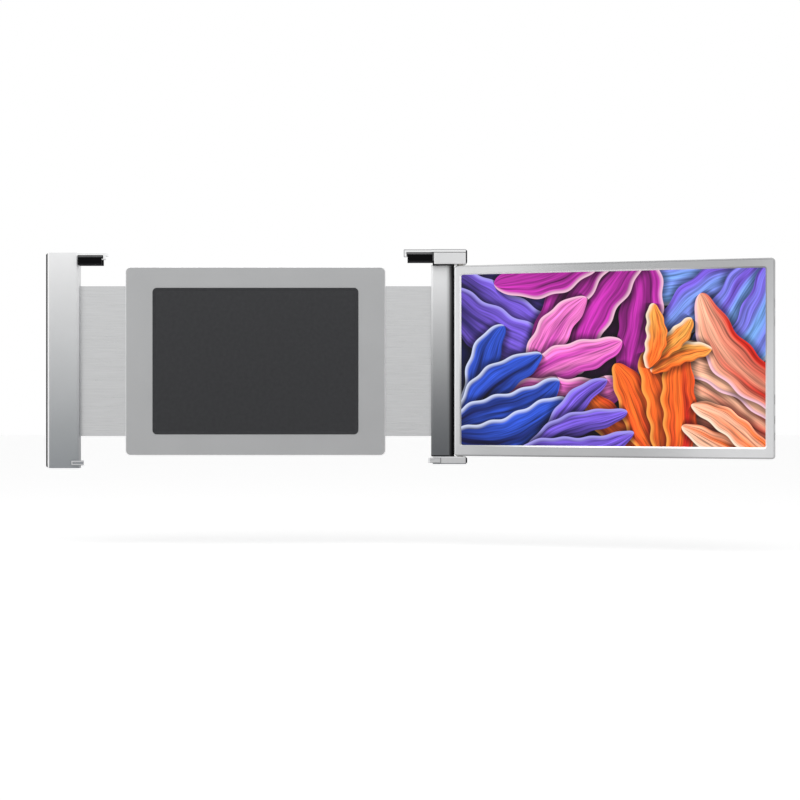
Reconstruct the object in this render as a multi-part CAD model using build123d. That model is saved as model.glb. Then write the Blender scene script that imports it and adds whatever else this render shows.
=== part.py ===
from build123d import *
import os

# Laptop screen extender, in millimetres.
# A flat base lies behind a laptop's lid. Two bars slide out of it and hook over the lid, and one
# monitor swivels on the right-hand bar.
# +X to the user's right, +Y away from the user, +Z up. The origin is the centre of the soft liner
# that the lid lies against.

# ---------------------------------------------------------------- clearances
slide_gap = 0.3  # between pieces that move past each other
turn_gap = 0.05  # round a hinge pin, on the radius
seat_gap = 0.02  # round a pin, bush or screw that stays put, on the radius
lay_gap = 0.05  # between sheets that lie on each other

# ---------------------------------------------------------------- screws
M3 = (1.25, 2.5, 1.1)  # shank radius, head radius, head height
M1_6 = (0.8, 1.7, 0.9)
leaf_screw = (0.8, 1.5, 0.8)
socket_r = 0.5  # as a share of the head's radius
socket_depth = 0.6  # as a share of the head's height
blind_skin = 0.8  # left behind a blind screw hole
tip_skin = 1.5  # from the same face to the screw's tip

# ---------------------------------------------------------------- lid and travel
lid_gap = 402.9  # between the bars' inner faces at rest
lid_slot = 8.0  # from the liner's plane to the hooks' lips
slide_in = 52.0
slide_out = 4.0
bar_stop = 0.5  # between a bar pushed right in and the base

# ---------------------------------------------------------------- base
base_under = 0.5  # how much shorter the base is than the monitor
base_corner = 6.0
sheet = 1.5
liner = 0.8
liner_w = 236.0
liner_h = 168.0
liner_corner = 5.0
cavity = 6.0
base_edge = 0.8  # rounding of the base's edges
corner_screw_inset = 9.0
groove_w = 1.2  # decorative groove round the flat backs
groove_depth = 0.4
groove_inset = 16.0  # from the base's edge
notch_r = 9.0  # finger notch at the kickstand's free end
notch_depth = 0.9

# ---------------------------------------------------------------- slides
plate_t = 2.5
plate_edge = 22.0  # from the base's upper and lower edge to a slide plate
plate_inner = 60.0  # from the middle to a slide plate's inner end
plate_corner = 6.0
plate_in_bar = 17.5
guide_h = 10.0
guide_grip = 6.0
guide_l = 76.0
stop_r = 3.0
stop_x = 88.0
stop_z = 50.0
spring_l = 42.0
spring_w = 12.0
spring_t = 0.4
spring_x = 116.0
spring_z = 22.0
spring_foot = 1.0  # flat end of a spring

# ---------------------------------------------------------------- bars
bar_w = 35.5
left_drop = 3.2  # how much lower the left bar hangs than the right bracket
left_foot = 1.8  # how much further below its clip it reaches
bar_front = 6.0
bar_wall = 1.8
bar_bevel_out = 1.8
bar_bevel_in = 2.4
bar_bevel_depth = 0.9
trim_w = 2.0
trim_corner = 1.8
trim_end_inset = 0.6
trim_back_inset = 1.0
trim_round = 0.5
bar_screw_x = 11.0  # from a bar's inner face to the screws of its slide plate
plate_screw_in = 18.0  # from a slide plate's upper and lower edge
cover_screw_out = 6.0  # past the same edges
cover_bevel = 0.6
boss_r = 4.0

# ---------------------------------------------------------------- lid hooks
cap_t = 3.5
cap_reach = 31.6
cap_lip = 5.5  # how far the cap stands out in front of the lid slot
cap_tip_w = 2.4
cap_tip_drop = 5.3
cap_tip_return = 1.8
cap_tip_t = 1.2
pad_t = 3.3  # of the left pad, between its cap and the lid
pad_inset = 3.2  # from the cap's free end to the pad
lip_inset = 1.2
lip_t = 4.6
lip_h = 7.8
right_lip_h = 4.5
lip_round = 1.2
back_lip_y = (0.6, 4.6)
pad_back_inset = 0.8
pad_bead = 0.6
pad_bead_round = 0.5
pad_groove_h = 1.1
pad_strip_w = 1.5  # beside the top arm's block
pad_strip_t = 1.0  # below it
pad_strip_inset = 1.0
cap_lid_gap = 0.4  # from the lid slot to the cap's tip
cap_round = 1.0
cap_edge = 0.8
tongue_l = 24.0
tongue_boss_x = (8.0, 23.0)
tongue_boss_h = 6.0
tongue_boss_back = 2.0
hook_screw_x = (12.0, 19.0)
hook_screw_depth = 5.0

# ---------------------------------------------------------------- bracket
arm_inset = 3.0  # from the spine's inner face to the top arm's block
arm_wall = 1.15  # in front of the hinge's friction washers
arm_end_wall = 1.95  # beyond them, at the arms' ends
arm_edge = 1.0
seam_bevel = 0.4  # at the joint between the arm's block and the cap on it
top_arm_h = 13.5
bottom_arm_h = 8.5
bottom_arm_inset = 1.6
bottom_arm_edge = 0.8
bottom_arm_skin = 1.2  # under the hinge's bore
end_cap_w = 1.6
end_cap_corner = 1.4
end_cap_inset = 0.5
end_cap_y_inset = 0.8
spine_w = 20.2
spine_front = 3.0
strip_w = 6.3
arm_screw_in = 11.2  # from the spine's inner face
arm_screw_pitch = 9.0
arm_screw_end = 6.0  # from the arm's end
arm_screw_y = 3.2
arm_screw_depth = 10.0
arm_screw_reach = 8.0
hinge_screw_depth = 9.0

# ---------------------------------------------------------------- lid clips
clip_l = 14.3
clip_h = 5.7
clip_t = 2.9
clip_over = 5.9  # how far the left clip reaches over the lid at rest
clip_over_right = 3.6
clip_travel = 4.5
clip_channel_h = 2.1
clip_channel_d = 0.8
clip_neck_h = 2.6
clip_neck_l = 1.3
clip_foot_h = 4.2
clip_foot_l = 2.9
clip_foot_t = 1.6
clip_neck_inset = 0.3  # from the clip's closed end to its neck
clip_round = 1.0
clip_bevel = 0.5
clip_channel_end = 2.0
clip_proud = 0.3  # of the right clip in front of its arm
clip_web = 1.5  # between a track's wide and its narrow part
clip_foot_end = 4.5
clip_tip = 3.0
lid_t = 6.4

# ---------------------------------------------------------------- monitor
picture_w = 344.2
picture_h = 193.6
picture_corner = 2.0
bezel_left = 8.3
bezel_right = 9.4
bezel_top = 10.4
bezel_bottom = 12.5
monitor_t = 8.8
monitor_skin = 1.2
monitor_wall = 1.4
monitor_corner = 3.5
monitor_edge = 1.2
back_groove_inset = 9.0
vent_w = 1.6
vent_l = 15.0
vent_pitch = 4.2
vent_count = 12
vent_x = 296.0  # from the hinge axis to the first vent
vent_z = (-72.0, -50.0)  # middle of each row
picture_bevel_w = 1.6
picture_land = 0.15
bezel_depth = 7.0
panel_margin = 1.8
panel_foot = 4.0
panel_t = 1.2
guide_plate_t = 1.4
tray_t = 0.4
tray_margin = 0.1
guide_inset = 0.3
led_end = 0.2
led_h = 1.5
standoff_r = 1.6
case_boss_r = 2.1
case_screw_x = (80.0, 170.0, 260.0)
case_screw_side = 5.5  # from the monitor's right edge
case_screw_edge = 4.3  # from its upper and lower edge
case_blind_skin = 0.6
leaf_blind_skin = 0.4
case_tip_skin = 1.0
leaf_tip_skin = 0.8

# ---------------------------------------------------------------- hinge
hinge_out = 32.9  # from the spine's inner face to the axis
fold_gap = 0.85  # between the folded monitor and the left bar
rest_swing = 20.0  # degrees towards the user, from in line with the base
hinge_setback = 6.0  # from the monitor's left edge to the axis
pin_r = 2.0
bush_r = 3.6
bush_h = 4.0
top_gap = 1.75  # between the monitor and the top arm
bottom_gap = 0.75  # between the monitor and the bottom arm
washer_t = 0.8
washers = 3
nut_t = 2.6
nut_flats = 3.2
stack_r = 4.2
barrel_r = 3.0
leaf_h = 5.2
leaf_l = 58.0
leaf_t = 1.4
leaf_end_gap = 0.25
leaf_screw_x = (25.0, 50.0)
pin_passage = 0.2  # round the pin in the monitor's wall

# ---------------------------------------------------------------- ports and buttons
port_wall_cut = 0.15
usb_w = 8.9
usb_t = 3.2
port_metal = 0.3
hdmi_w = 11.2
hdmi_t = 3.2
port_l = 6.8
port_inset = 0.2
port_back = 1.0
port_tongue_t = 0.7
port_tongue_share = 0.72  # of the port's width
usb_z = (-84.0, -66.0)
hdmi_z = -44.0
board_t = 0.8
board_w = 62.0
board_h = 70.0
board_below_port = 11.0
standoff_x = (6.0, 50.0)  # from the board's corner
standoff_z = (24.0, 65.0)
chips = ((18.0, 45.0, 13.0), (38.0, 50.0, 8.0), (16.0, 22.0, 9.0), (40.0, 30.0, 6.0))  # place and size
chip_gap = 0.2
timing_x = (100.0, 222.0)
timing_z = (1.0, 11.0)  # from the panel's lower edge
ribbon_x = 206.0
ribbon_over = 8.0  # under the driver board
ribbon_z = (2.0, 9.0)
ribbon_t = 0.2
button_l = 10.0
button_t = 2.2
button_proud = 0.3
button_travel = 0.5
button_flange = 1.2
button_z = (60.0, 40.0)
button_round = 0.9
button_flange_t = 3.8
button_board_t = 0.6
button_board_y = (-2.4, 2.2)
button_board_end = 12.0
switch_t = 3.0
switch_w = 3.6

# ---------------------------------------------------------------- kickstand
stand_w = 120.0
stand_h = 118.0
stand_t = 3.0
stand_edge = 12.0  # from the base's lower edge to the kickstand's axis
stand_barrel_r = 3.2
stand_corner = 10.0
foot_h = 5.0
lug_x = 46.0
lug_w = 8.0
stand_pin_r = 1.5
stand_pin_l = 25.0
stand_pin_inset = 2.0

# ---------------------------------------------------------------- places worked out from the sizes
monitor_w = bezel_left + picture_w + bezel_right
monitor_h = bezel_top + picture_h + bezel_bottom
inner_x = lid_gap / 2
base_w = 2 * (inner_x - slide_in - bar_stop)
front_y = liner
cavity_y0 = front_y + sheet
cavity_y1 = cavity_y0 + cavity
back_y = cavity_y1 + sheet
plate_y0 = (cavity_y0 + cavity_y1 - plate_t) / 2
plate_y1 = plate_y0 + plate_t
plate_end = inner_x + plate_in_bar
base_h = monitor_h - base_under
plate_h = base_h - 2 * plate_edge
bar_screw_z = plate_h / 2 - plate_screw_in
cover_screw_z = plate_h / 2 + cover_screw_out
stand_axis_z = -base_h / 2 + stand_edge
spine_x = inner_x + spine_w
strip_x = spine_x + strip_w
half_t = monitor_t / 2
half_h = monitor_h / 2
top_arm_z = half_h + top_gap
bottom_arm_z = -half_h - bottom_gap
cap_z = top_arm_z + top_arm_h
bar_top = cap_z + cap_t
bar_bottom = bottom_arm_z - bottom_arm_h
left_cap_z = cap_z - left_drop
left_top = bar_top - left_drop
left_bottom = bar_bottom - left_drop - left_foot
pad_z = left_cap_z - pad_t
right_clip_end = inner_x - clip_over_right + clip_l
right_clip_z = (bar_bottom + bottom_arm_z) / 2
left_clip_z = right_clip_z - left_drop
hinge_x = inner_x + hinge_out
hinge_y = -bar_front - fold_gap - half_t
arm_end = hinge_x + stack_r + arm_end_wall
arm_front = -hinge_y + stack_r + arm_wall
clip_face_y = -arm_front - clip_proud + clip_t + slide_gap
skin_y = half_t - monitor_skin
part_y = bezel_depth - half_t
monitor_x0 = -hinge_setback
monitor_x1 = monitor_x0 + monitor_w
picture_x = monitor_x0 + bezel_left + picture_w / 2
picture_z = bezel_bottom + picture_h / 2 - half_h
panel_w = picture_w + 2 * panel_margin
panel_z0 = picture_z - picture_h / 2 - panel_foot
panel_z1 = picture_z + picture_h / 2 + panel_margin
panel_x0 = picture_x - panel_w / 2
panel_x1 = picture_x + panel_w / 2
panel_y0 = -skin_y + lay_gap
guide_plate_y = panel_y0 + panel_t + lay_gap
tray_y1 = guide_plate_y + guide_plate_t + 2 * lay_gap + tray_t
leaf_z1 = half_h - monitor_wall - leaf_end_gap
leaf_z0 = leaf_z1 - leaf_h
board_y = usb_t / 2
button_inner_x = monitor_x1 - monitor_wall - slide_gap - button_flange
stand_y = back_y + slide_gap + stand_barrel_r


# ---------------------------------------------------------------- shapes used by many pieces
def slab(x, y, z):
    """A box from three pairs of limits, in any order."""
    size = [abs(b - a) for a, b in (x, y, z)]
    middle = [(a + b) / 2 for a, b in (x, y, z)]
    return Pos(*middle) * Box(*size)


def along_y(sketch, y0, y1, x=0.0, z=0.0):
    """A flat outline in X and Z, given its thickness from y0 to y1."""
    return Pos(x, y1, z) * (Rot(90, 0, 0) * extrude(sketch, amount=y1 - y0))


def post_y(radius, x, z, y0, y1):
    """A round post along Y."""
    return along_y(Circle(radius), y0, y1, x, z)


def post_z(radius, x, y, z0, z1):
    """A round post along Z."""
    return Pos(x, y, z0) * extrude(Circle(radius), amount=z1 - z0)


def post_x(radius, y, z, x0, x1):
    """A round post along X."""
    return Pos(x0, y, z) * (Rot(0, 90, 0) * extrude(Circle(radius), amount=x1 - x0))


def screw_y(radius, head_r, head_h, x, z, tip_y, head_y):
    """A screw along Y with its flat head's face at head_y and a hexagon socket in it."""
    shank = post_y(radius, x, z, tip_y, head_y)
    head = post_y(head_r, x, z, head_y - head_h, head_y)
    socket = along_y(RegularPolygon(head_r * socket_r, 6), head_y - head_h * socket_depth, head_y, x, z)
    return shank + head - socket


def screw_hole_y(radius, head_r, head_h, x, z, tip_y, head_y):
    """The hole for screw_y, with a seat for its head."""
    return (post_y(radius + seat_gap, x, z, tip_y, head_y)
            + post_y(head_r + seat_gap, x, z, head_y - head_h - seat_gap, head_y))


def screw_z(x, y, tip_z, head_z):
    """An M3 screw along Z, with its head's face at head_z above or below the tip."""
    radius, head_r, head_h = M3
    up = 1 if head_z > tip_z else -1
    shank = post_z(radius, x, y, *sorted((tip_z, head_z)))
    head = post_z(head_r, x, y, *sorted((head_z - up * head_h, head_z)))
    depth = head_h * socket_depth
    socket = Pos(x, y, min(head_z, head_z - up * depth)) * extrude(
        RegularPolygon(head_r * socket_r, 6), amount=depth)
    return shank + head - socket


def screw_hole_z(x, y, tip_z, head_z):
    """The hole for screw_z, with a seat for its head."""
    radius, head_r, head_h = M3
    up = 1 if head_z > tip_z else -1
    seat = post_z(head_r + seat_gap, x, y, *sorted((head_z - up * (head_h + seat_gap), head_z)))
    return shank_hole_z(x, y, *sorted((tip_z, head_z))) + seat


def shank_hole_z(x, y, z0, z1):
    return post_z(M3[0] + seat_gap, x, y, z0, z1)


def edges_along(shape, axis, x=None, y=None, z=None):
    """The straight edges along one axis whose middle lies at the given coordinates."""
    found = []
    for edge in shape.edges().filter_by(axis):
        middle = edge @ 0.5
        wanted = ((x, middle.X), (y, middle.Y), (z, middle.Z))
        if all(goal is None or abs(goal - value) < 0.01 for goal, value in wanted):
            found.append(edge)
    return found


# ---------------------------------------------------------------- base
def base_screw_places():
    corners = [(x * (base_w / 2 - corner_screw_inset), z * (base_h / 2 - corner_screw_inset))
               for x in (-1, 1) for z in (-1, 1)]
    stops = [(x * stop_x, z * stop_z) for x in (-1, 1) for z in (-1, 1)]
    return corners, stops


def lid_liner():
    return along_y(RectangleRounded(liner_w, liner_h, liner_corner), 0, liner)


def plate_opening(side, y1):
    """The slot in a wall that a slide plate passes through."""
    return slab((side * plate_inner, side * inner_x), (plate_y0 - slide_gap, y1),
                (-plate_h / 2 - slide_gap, plate_h / 2 + slide_gap))


def base_front_plate():
    outer = along_y(RectangleRounded(base_w, base_h, base_corner), front_y, cavity_y1)
    outer = fillet(outer.faces().sort_by(Axis.Y)[0].edges(), base_edge)
    room = along_y(RectangleRounded(base_w - 2 * sheet, base_h - 2 * sheet, base_corner - sheet),
                   cavity_y0, cavity_y1)
    shell = outer - room
    for side in (-1, 1):
        shell -= plate_opening(side, cavity_y1)
    corners, _ = base_screw_places()
    for x, z in corners:
        shell += post_y(boss_r, x, z, cavity_y0, cavity_y1)
    for x, z in corners:
        shell -= post_y(M3[0] + seat_gap, x, z, cavity_y0 + blind_skin, cavity_y1)
    return shell


def base_back_cover():
    cover = along_y(RectangleRounded(base_w, base_h, base_corner), cavity_y1, back_y)
    cover = fillet(cover.faces().sort_by(Axis.Y)[-1].edges(), base_edge)
    cover -= border_groove(base_w, base_h, groove_inset, base_corner, back_y)
    cover -= post_y(notch_r, 0, stand_axis_z + stand_h, back_y - notch_depth, back_y)
    corners, stops = base_screw_places()
    for x, z in corners + stops:
        cover -= screw_hole_y(*M3, x, z, cavity_y1, back_y)
    return cover


def border_groove(width, height, inset, radius, y_face, x=0.0):
    """A shallow groove round a flat back, cut in from the plane at y_face."""
    w = width - 2 * inset
    h = height - 2 * inset
    outer = RectangleRounded(w, h, radius)
    inner = RectangleRounded(w - 2 * groove_w, h - 2 * groove_w, radius - groove_w)
    return along_y(outer - inner, y_face - groove_depth, y_face, x)


def base_screws():
    corners, stops = base_screw_places()
    return [screw_y(*M3, x, z, cavity_y0 + tip_skin, back_y) for x, z in corners + stops]


def slide_stops():
    """Pillars between the base's two skins that run in the slide plates' slots."""
    _, stops = base_screw_places()
    return [post_y(stop_r, x, z, cavity_y0, cavity_y1)
            - post_y(M3[0] + seat_gap, x, z, cavity_y0 + blind_skin, cavity_y1) for x, z in stops]


def slide_guides(side):
    """Nylon channels that hold the upper and lower edge of a slide plate."""
    x = (side * (base_w / 2 - sheet - guide_l), side * (base_w / 2 - sheet))
    channels = []
    for up in (-1, 1):
        z_in = up * (plate_h / 2 - guide_grip)
        body = slab(x, (cavity_y0, cavity_y1), (z_in, z_in + up * guide_h))
        groove = slab(x, (plate_y0 - slide_gap, plate_y1 + slide_gap),
                      (z_in, up * (plate_h / 2 + slide_gap)))
        channels.append(body - groove)
    return channels


def friction_springs(side):
    """Bowed steel strips between the back cover and a slide plate."""
    crest = plate_y1 + slide_gap
    rise = cavity_y1 - crest - spring_t
    half = spring_l / 2
    outer = ThreePointArc((-half, 0), (0, -rise - spring_t), (half, 0))
    foot = half - spring_foot
    inner = ThreePointArc((-foot, 0), (0, -rise), (foot, 0))
    ends = [Line((-half, 0), (-foot, 0)), Line((foot, 0), (half, 0))]
    profile = make_face([outer, inner] + ends)
    strip = extrude(profile, amount=spring_w)
    return [Pos(side * spring_x, cavity_y1, up * spring_z - spring_w / 2) * strip for up in (-1, 1)]


# ---------------------------------------------------------------- slide plates
def slide_plate(side):
    length = plate_end - plate_inner
    middle = side * (plate_end + plate_inner) / 2
    plate = along_y(RectangleRounded(length, plate_h, plate_corner), plate_y0, plate_y1, middle)
    slot_l = slide_in + slide_out + 2 * (stop_r + slide_gap)
    slot_x = side * (stop_x + (slide_in - slide_out) / 2)
    for up in (-1, 1):
        slot = SlotOverall(slot_l, 2 * (stop_r + slide_gap))
        plate -= along_y(slot, plate_y0, plate_y1, slot_x, up * stop_z)
        plate -= post_y(M3[0] + seat_gap, side * (inner_x + bar_screw_x), up * bar_screw_z,
                        plate_y0, plate_y1)
    return plate


def bar_screws(side, front):
    """Two screws that hold the slide plate and two that hold the bar's back cover."""
    x = side * (inner_x + bar_screw_x)
    screws = []
    for up in (-1, 1):
        screws.append(screw_y(*M3, x, up * bar_screw_z, front + tip_skin, plate_y1 + M3[2]))
        screws.append(screw_y(*M3, x, up * cover_screw_z, front + 2 * tip_skin, back_y))
    return screws


def bar_bosses(side, front):
    """Solid pillars inside a bar for bar_screws."""
    x = side * (inner_x + bar_screw_x)
    posts = Part() + [post_y(boss_r, x, up * bar_screw_z, front, plate_y0) for up in (-1, 1)]
    posts += [post_y(boss_r, x, up * cover_screw_z, front, cavity_y1) for up in (-1, 1)]
    for up in (-1, 1):
        posts -= post_y(M3[0] + seat_gap, x, up * bar_screw_z, front + blind_skin, plate_y0)
        posts -= post_y(M3[0] + seat_gap, x, up * cover_screw_z, front + blind_skin, cavity_y1)
    return posts


def bar_cover(side, x_end, z0, z1):
    """The flat back cover of a bar."""
    cover = slab((side * inner_x, side * x_end), (cavity_y1, back_y), (z0, z1))
    cover = chamfer(edges_along(cover, Axis.Z, x=side * x_end, y=back_y), cover_bevel)
    for up in (-1, 1):
        cover -= screw_hole_y(*M3, side * (inner_x + bar_screw_x), up * cover_screw_z, cavity_y1, back_y)
    return cover


# ---------------------------------------------------------------- left bar
def clip_neck_x():
    """Where the left clip's neck starts, just inside the clip's closed end."""
    return -(inner_x - clip_over + clip_l) + clip_neck_inset


def left_bar_shell():
    x_in, x_out = -inner_x, -inner_x - bar_w
    shell = slab((x_in, x_out), (-bar_front, cavity_y1), (left_bottom, left_top))
    out_edge = edges_along(shell, Axis.Z, x=x_out, y=-bar_front)
    front = shell.faces().sort_by(Axis.Y)[0]
    shell = chamfer(out_edge, bar_bevel_out, bar_bevel_depth, reference=front)
    in_edge = edges_along(shell, Axis.Z, x=x_in, y=-bar_front)
    front = shell.faces().sort_by(Axis.Y)[0]
    shell = chamfer(in_edge, bar_bevel_in, bar_bevel_depth, reference=front)
    floor_y = -bar_front + bar_wall
    shell -= slab((x_in - bar_wall, x_out + bar_wall), (floor_y, cavity_y1),
                  (left_bottom + bar_wall, left_top - bar_wall))
    shell -= slab((x_in, x_in - bar_wall), (plate_y0 - lay_gap, cavity_y1),
                  (-plate_h / 2 - slide_gap, plate_h / 2 + slide_gap))
    shell += bar_bosses(-1, floor_y)
    # the seat and the opening of the hook's tongue
    shell += slab([x_in - x for x in tongue_boss_x], (floor_y, cavity_y1 - tongue_boss_back),
                  (left_cap_z - tongue_boss_h, left_cap_z))
    shell -= slab((x_in, x_in - tongue_l - slide_gap), (floor_y + slide_gap, cavity_y1),
                  (left_cap_z, left_top))
    for x in hook_screw_x:
        shell -= shank_hole_z(x_in - x, arm_screw_y, left_cap_z - hook_screw_depth, left_cap_z)
    # the slot that the lid clip's neck runs in
    neck = clip_neck_x()
    neck_end = neck + clip_neck_l + clip_travel + slide_gap
    shell -= slab((neck - slide_gap, neck_end), (-bar_front, floor_y),
                  clip_band(left_clip_z, clip_neck_h, slide_gap))
    return shell


def left_edge_trim():
    x_in = -inner_x - bar_w
    trim = slab((x_in, x_in - trim_w), (-bar_front + bar_bevel_depth, back_y - trim_back_inset),
                (left_bottom + trim_end_inset, left_top - trim_end_inset))
    corners = edges_along(trim, Axis.Y, x=x_in - trim_w)
    trim = chamfer(corners, trim_corner)
    return fillet(edges_along(trim, Axis.Z, x=x_in - trim_w), trim_round)


# ---------------------------------------------------------------- lid hooks
def left_hook_screws():
    tip_z = left_cap_z - hook_screw_depth + slide_gap
    return [screw_z(-inner_x - x, arm_screw_y, tip_z, left_top) for x in hook_screw_x]


def hook_cap(side, z0, z1):
    """The metal strip over the lid's top edge, with a tip that turns down and back in front."""
    front = -lid_slot - cap_lip
    free = side * (inner_x - cap_reach)
    strip = slab((free, side * inner_x), (front, back_y), (z0, z1))
    tip_y = (front, -lid_slot - cap_lid_gap)
    tip_z = z0 - cap_tip_drop
    tip = slab((free, free + side * cap_tip_w), tip_y, (tip_z, z0))
    curl = slab((free, free + side * (cap_tip_w + cap_tip_return)), tip_y, (tip_z, tip_z + cap_tip_t))
    cap = strip + tip + curl
    corners = [edges_along(cap, Axis.Y, x=free, z=z) for z in (z1, tip_z)]
    return fillet(corners[0] + corners[1], cap_round)


def left_hook_cap():
    cap = hook_cap(-1, left_cap_z, left_top)
    tongue_y = (-bar_front + bar_wall + slide_gap + lay_gap, cavity_y1)
    cap += slab((-inner_x, -inner_x - tongue_l), tongue_y, (left_cap_z, left_top))
    cap = fillet(edges_along(cap, Axis.X, y=-lid_slot - cap_lip, z=left_top), cap_edge)
    for x in hook_screw_x:
        cap -= screw_hole_z(-inner_x - x, arm_screw_y, left_cap_z, left_top)
    return cap


def right_hook_cap():
    cap = hook_cap(1, cap_z, bar_top)
    cap += slab((inner_x, arm_end), (-arm_front, back_y), (cap_z, bar_top))
    front_edges = edges_along(cap, Axis.X, y=-arm_front, z=bar_top)
    front_edges += edges_along(cap, Axis.X, y=-lid_slot - cap_lip, z=bar_top)
    cap = fillet(front_edges, cap_edge)
    for x in arm_screw_places():
        cap -= screw_hole_z(x, arm_screw_y, cap_z, bar_top)
    return cap


def hook_pad(side, x_end, top_z, lip_drop):
    """The rubber lining under a hook cap: a flange, a lip in front of the lid and one behind it."""
    free = side * (inner_x - cap_reach + pad_inset)
    lip = free + side * lip_inset
    front = -lid_slot - lip_t
    bead_z = top_z - pad_t + pad_groove_h
    pad = slab((free, x_end), (front - pad_bead, back_y - pad_back_inset), (bead_z, top_z))
    pad = fillet(edges_along(pad, Axis.X, y=front - pad_bead), pad_bead_round)
    pad += slab((free, x_end), (front, back_y - pad_back_inset), (top_z - pad_t, bead_z))
    pad += slab((lip, x_end), (front, back_y - pad_back_inset), (pad_z, bead_z))
    for lip_y in ((front, -lid_slot), back_lip_y):
        hanging = slab((lip, x_end), lip_y, (pad_z - lip_drop, pad_z))
        pad += fillet(edges_along(hanging, Axis.X, z=pad_z - lip_drop), lip_round)
    return pad


def left_hook_pad():
    return hook_pad(-1, -inner_x + lay_gap, left_cap_z, lip_h)


def right_hook_pad():
    """Thicker, so that both roofs are level. Runs on as a dark strip beside and below the arm's block."""
    block_x = inner_x + arm_inset
    pad = hook_pad(1, block_x, cap_z, right_lip_h)
    strip_x0 = block_x - pad_strip_w
    strip_y = (-arm_front + pad_strip_inset, -spine_front - slide_gap)
    strip_z = top_arm_z - pad_strip_t
    pad += slab((strip_x0, block_x), strip_y, (strip_z, cap_z))
    return pad + slab((strip_x0, strip_x - end_cap_inset), strip_y, (strip_z, top_arm_z))


# ---------------------------------------------------------------- right bracket
def spine_shell():
    z = (bottom_arm_z, top_arm_z)
    shell = slab((inner_x, spine_x), (-spine_front, cavity_y1), z)
    front = shell.faces().sort_by(Axis.Y)[0]
    shell = chamfer(edges_along(shell, Axis.Z, x=inner_x, y=-spine_front), bar_bevel_out,
                    bar_bevel_depth, reference=front)
    floor_y = -spine_front + bar_wall
    shell -= slab((inner_x + bar_wall, spine_x - bar_wall), (floor_y, cavity_y1),
                  (z[0] + arm_screw_depth, z[1] - arm_screw_depth))
    shell -= slab((inner_x, inner_x + bar_wall), (plate_y0 - lay_gap, cavity_y1),
                  (-plate_h / 2 - slide_gap, plate_h / 2 + slide_gap))
    shell += bar_bosses(1, floor_y)
    for x in arm_screw_places()[:2]:
        for end, tip in ((z[0], z[0] + arm_screw_depth), (z[1] - arm_screw_depth, z[1])):
            shell -= shank_hole_z(x, arm_screw_y, end, tip)
    return shell


def spine_side_strip():
    """A dark strip whose front rolls back beside the monitor."""
    strip = slab((spine_x, strip_x), (-spine_front, cavity_y1), (bottom_arm_z, top_arm_z))
    roll = edges_along(strip, Axis.Z, x=strip_x, y=-spine_front)
    return fillet(roll, strip_w - lay_gap)


def arm_screw_places():
    """Two screws into the spine and one beside the hinge."""
    middle = inner_x + arm_screw_in
    return [middle - arm_screw_pitch / 2, middle + arm_screw_pitch / 2, arm_end - arm_screw_end]


def top_arm():
    block = slab((inner_x + arm_inset, arm_end), (-arm_front, back_y), (top_arm_z, cap_z))
    edges = edges_along(block, Axis.Z, y=-arm_front) + edges_along(block, Axis.X, y=-arm_front, z=top_arm_z)
    block = fillet(edges, arm_edge)
    block = chamfer(edges_along(block, Axis.X, z=cap_z, y=-arm_front), seam_bevel)
    block -= post_z(bush_r + seat_gap, hinge_x, hinge_y, top_arm_z, top_arm_z + bush_h)
    block -= post_z(stack_r, hinge_x, hinge_y, top_arm_z + bush_h, cap_z)
    for x, z in zip(arm_screw_places(), (top_arm_z, top_arm_z, cap_z - hinge_screw_depth)):
        block -= shank_hole_z(x, arm_screw_y, z, cap_z)
    return block


def top_arm_screws():
    """Two long screws through cap, arm and spine, and a short one into the arm."""
    tips = [z - arm_screw_reach for z in (top_arm_z, top_arm_z, cap_z)]
    return [screw_z(x, arm_screw_y, tip, bar_top) for x, tip in zip(arm_screw_places(), tips)]


def clip_band(z, height, gap=0.0):
    """Lower and upper limit of one of a clip's parts."""
    return z - height / 2 - gap, z + height / 2 + gap


def clip_track(x0, x1):
    """A T-shaped groove along X in the bottom arm's face for the right lid clip."""
    web_y = clip_face_y + clip_web
    foot_y = web_y + clip_foot_t + 2 * slide_gap
    return (slab((x0, x1), (-arm_front, clip_face_y), clip_band(right_clip_z, clip_h, slide_gap))
            + slab((x0, x1), (clip_face_y, web_y), clip_band(right_clip_z, clip_neck_h, slide_gap))
            + slab((x0, x1), (web_y, foot_y), clip_band(right_clip_z, clip_foot_h, slide_gap)))


def bottom_arm():
    x0 = inner_x + bottom_arm_inset
    block = slab((x0, arm_end), (-arm_front, back_y), (bar_bottom, bottom_arm_z))
    edges = edges_along(block, Axis.X, y=-arm_front) + edges_along(block, Axis.Z, x=arm_end, y=-arm_front)
    block = fillet(edges, bottom_arm_edge)
    block -= clip_track(x0, right_clip_end + slide_gap)
    block -= post_z(bush_r + seat_gap, hinge_x, hinge_y, bottom_arm_z - bush_h, bottom_arm_z)
    block -= post_z(pin_r + 2 * slide_gap, hinge_x, hinge_y, bar_bottom + bottom_arm_skin,
                    bottom_arm_z - bush_h)
    for x in arm_screw_places()[:2]:
        block -= screw_hole_z(x, arm_screw_y, bottom_arm_z, bar_bottom)
    return block


def bottom_arm_screws():
    tip_z = bottom_arm_z + arm_screw_reach
    return [screw_z(x, arm_screw_y, tip_z, bar_bottom) for x in arm_screw_places()[:2]]


def end_cap(z0, z1):
    """The dark cap on an arm's outer end."""
    y = (-arm_front + end_cap_y_inset, back_y - end_cap_y_inset)
    cap = slab((arm_end, arm_end + end_cap_w), y, (z0 + end_cap_inset, z1 - end_cap_inset))
    return chamfer(edges_along(cap, Axis.Y, x=arm_end + end_cap_w), end_cap_corner)


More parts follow.
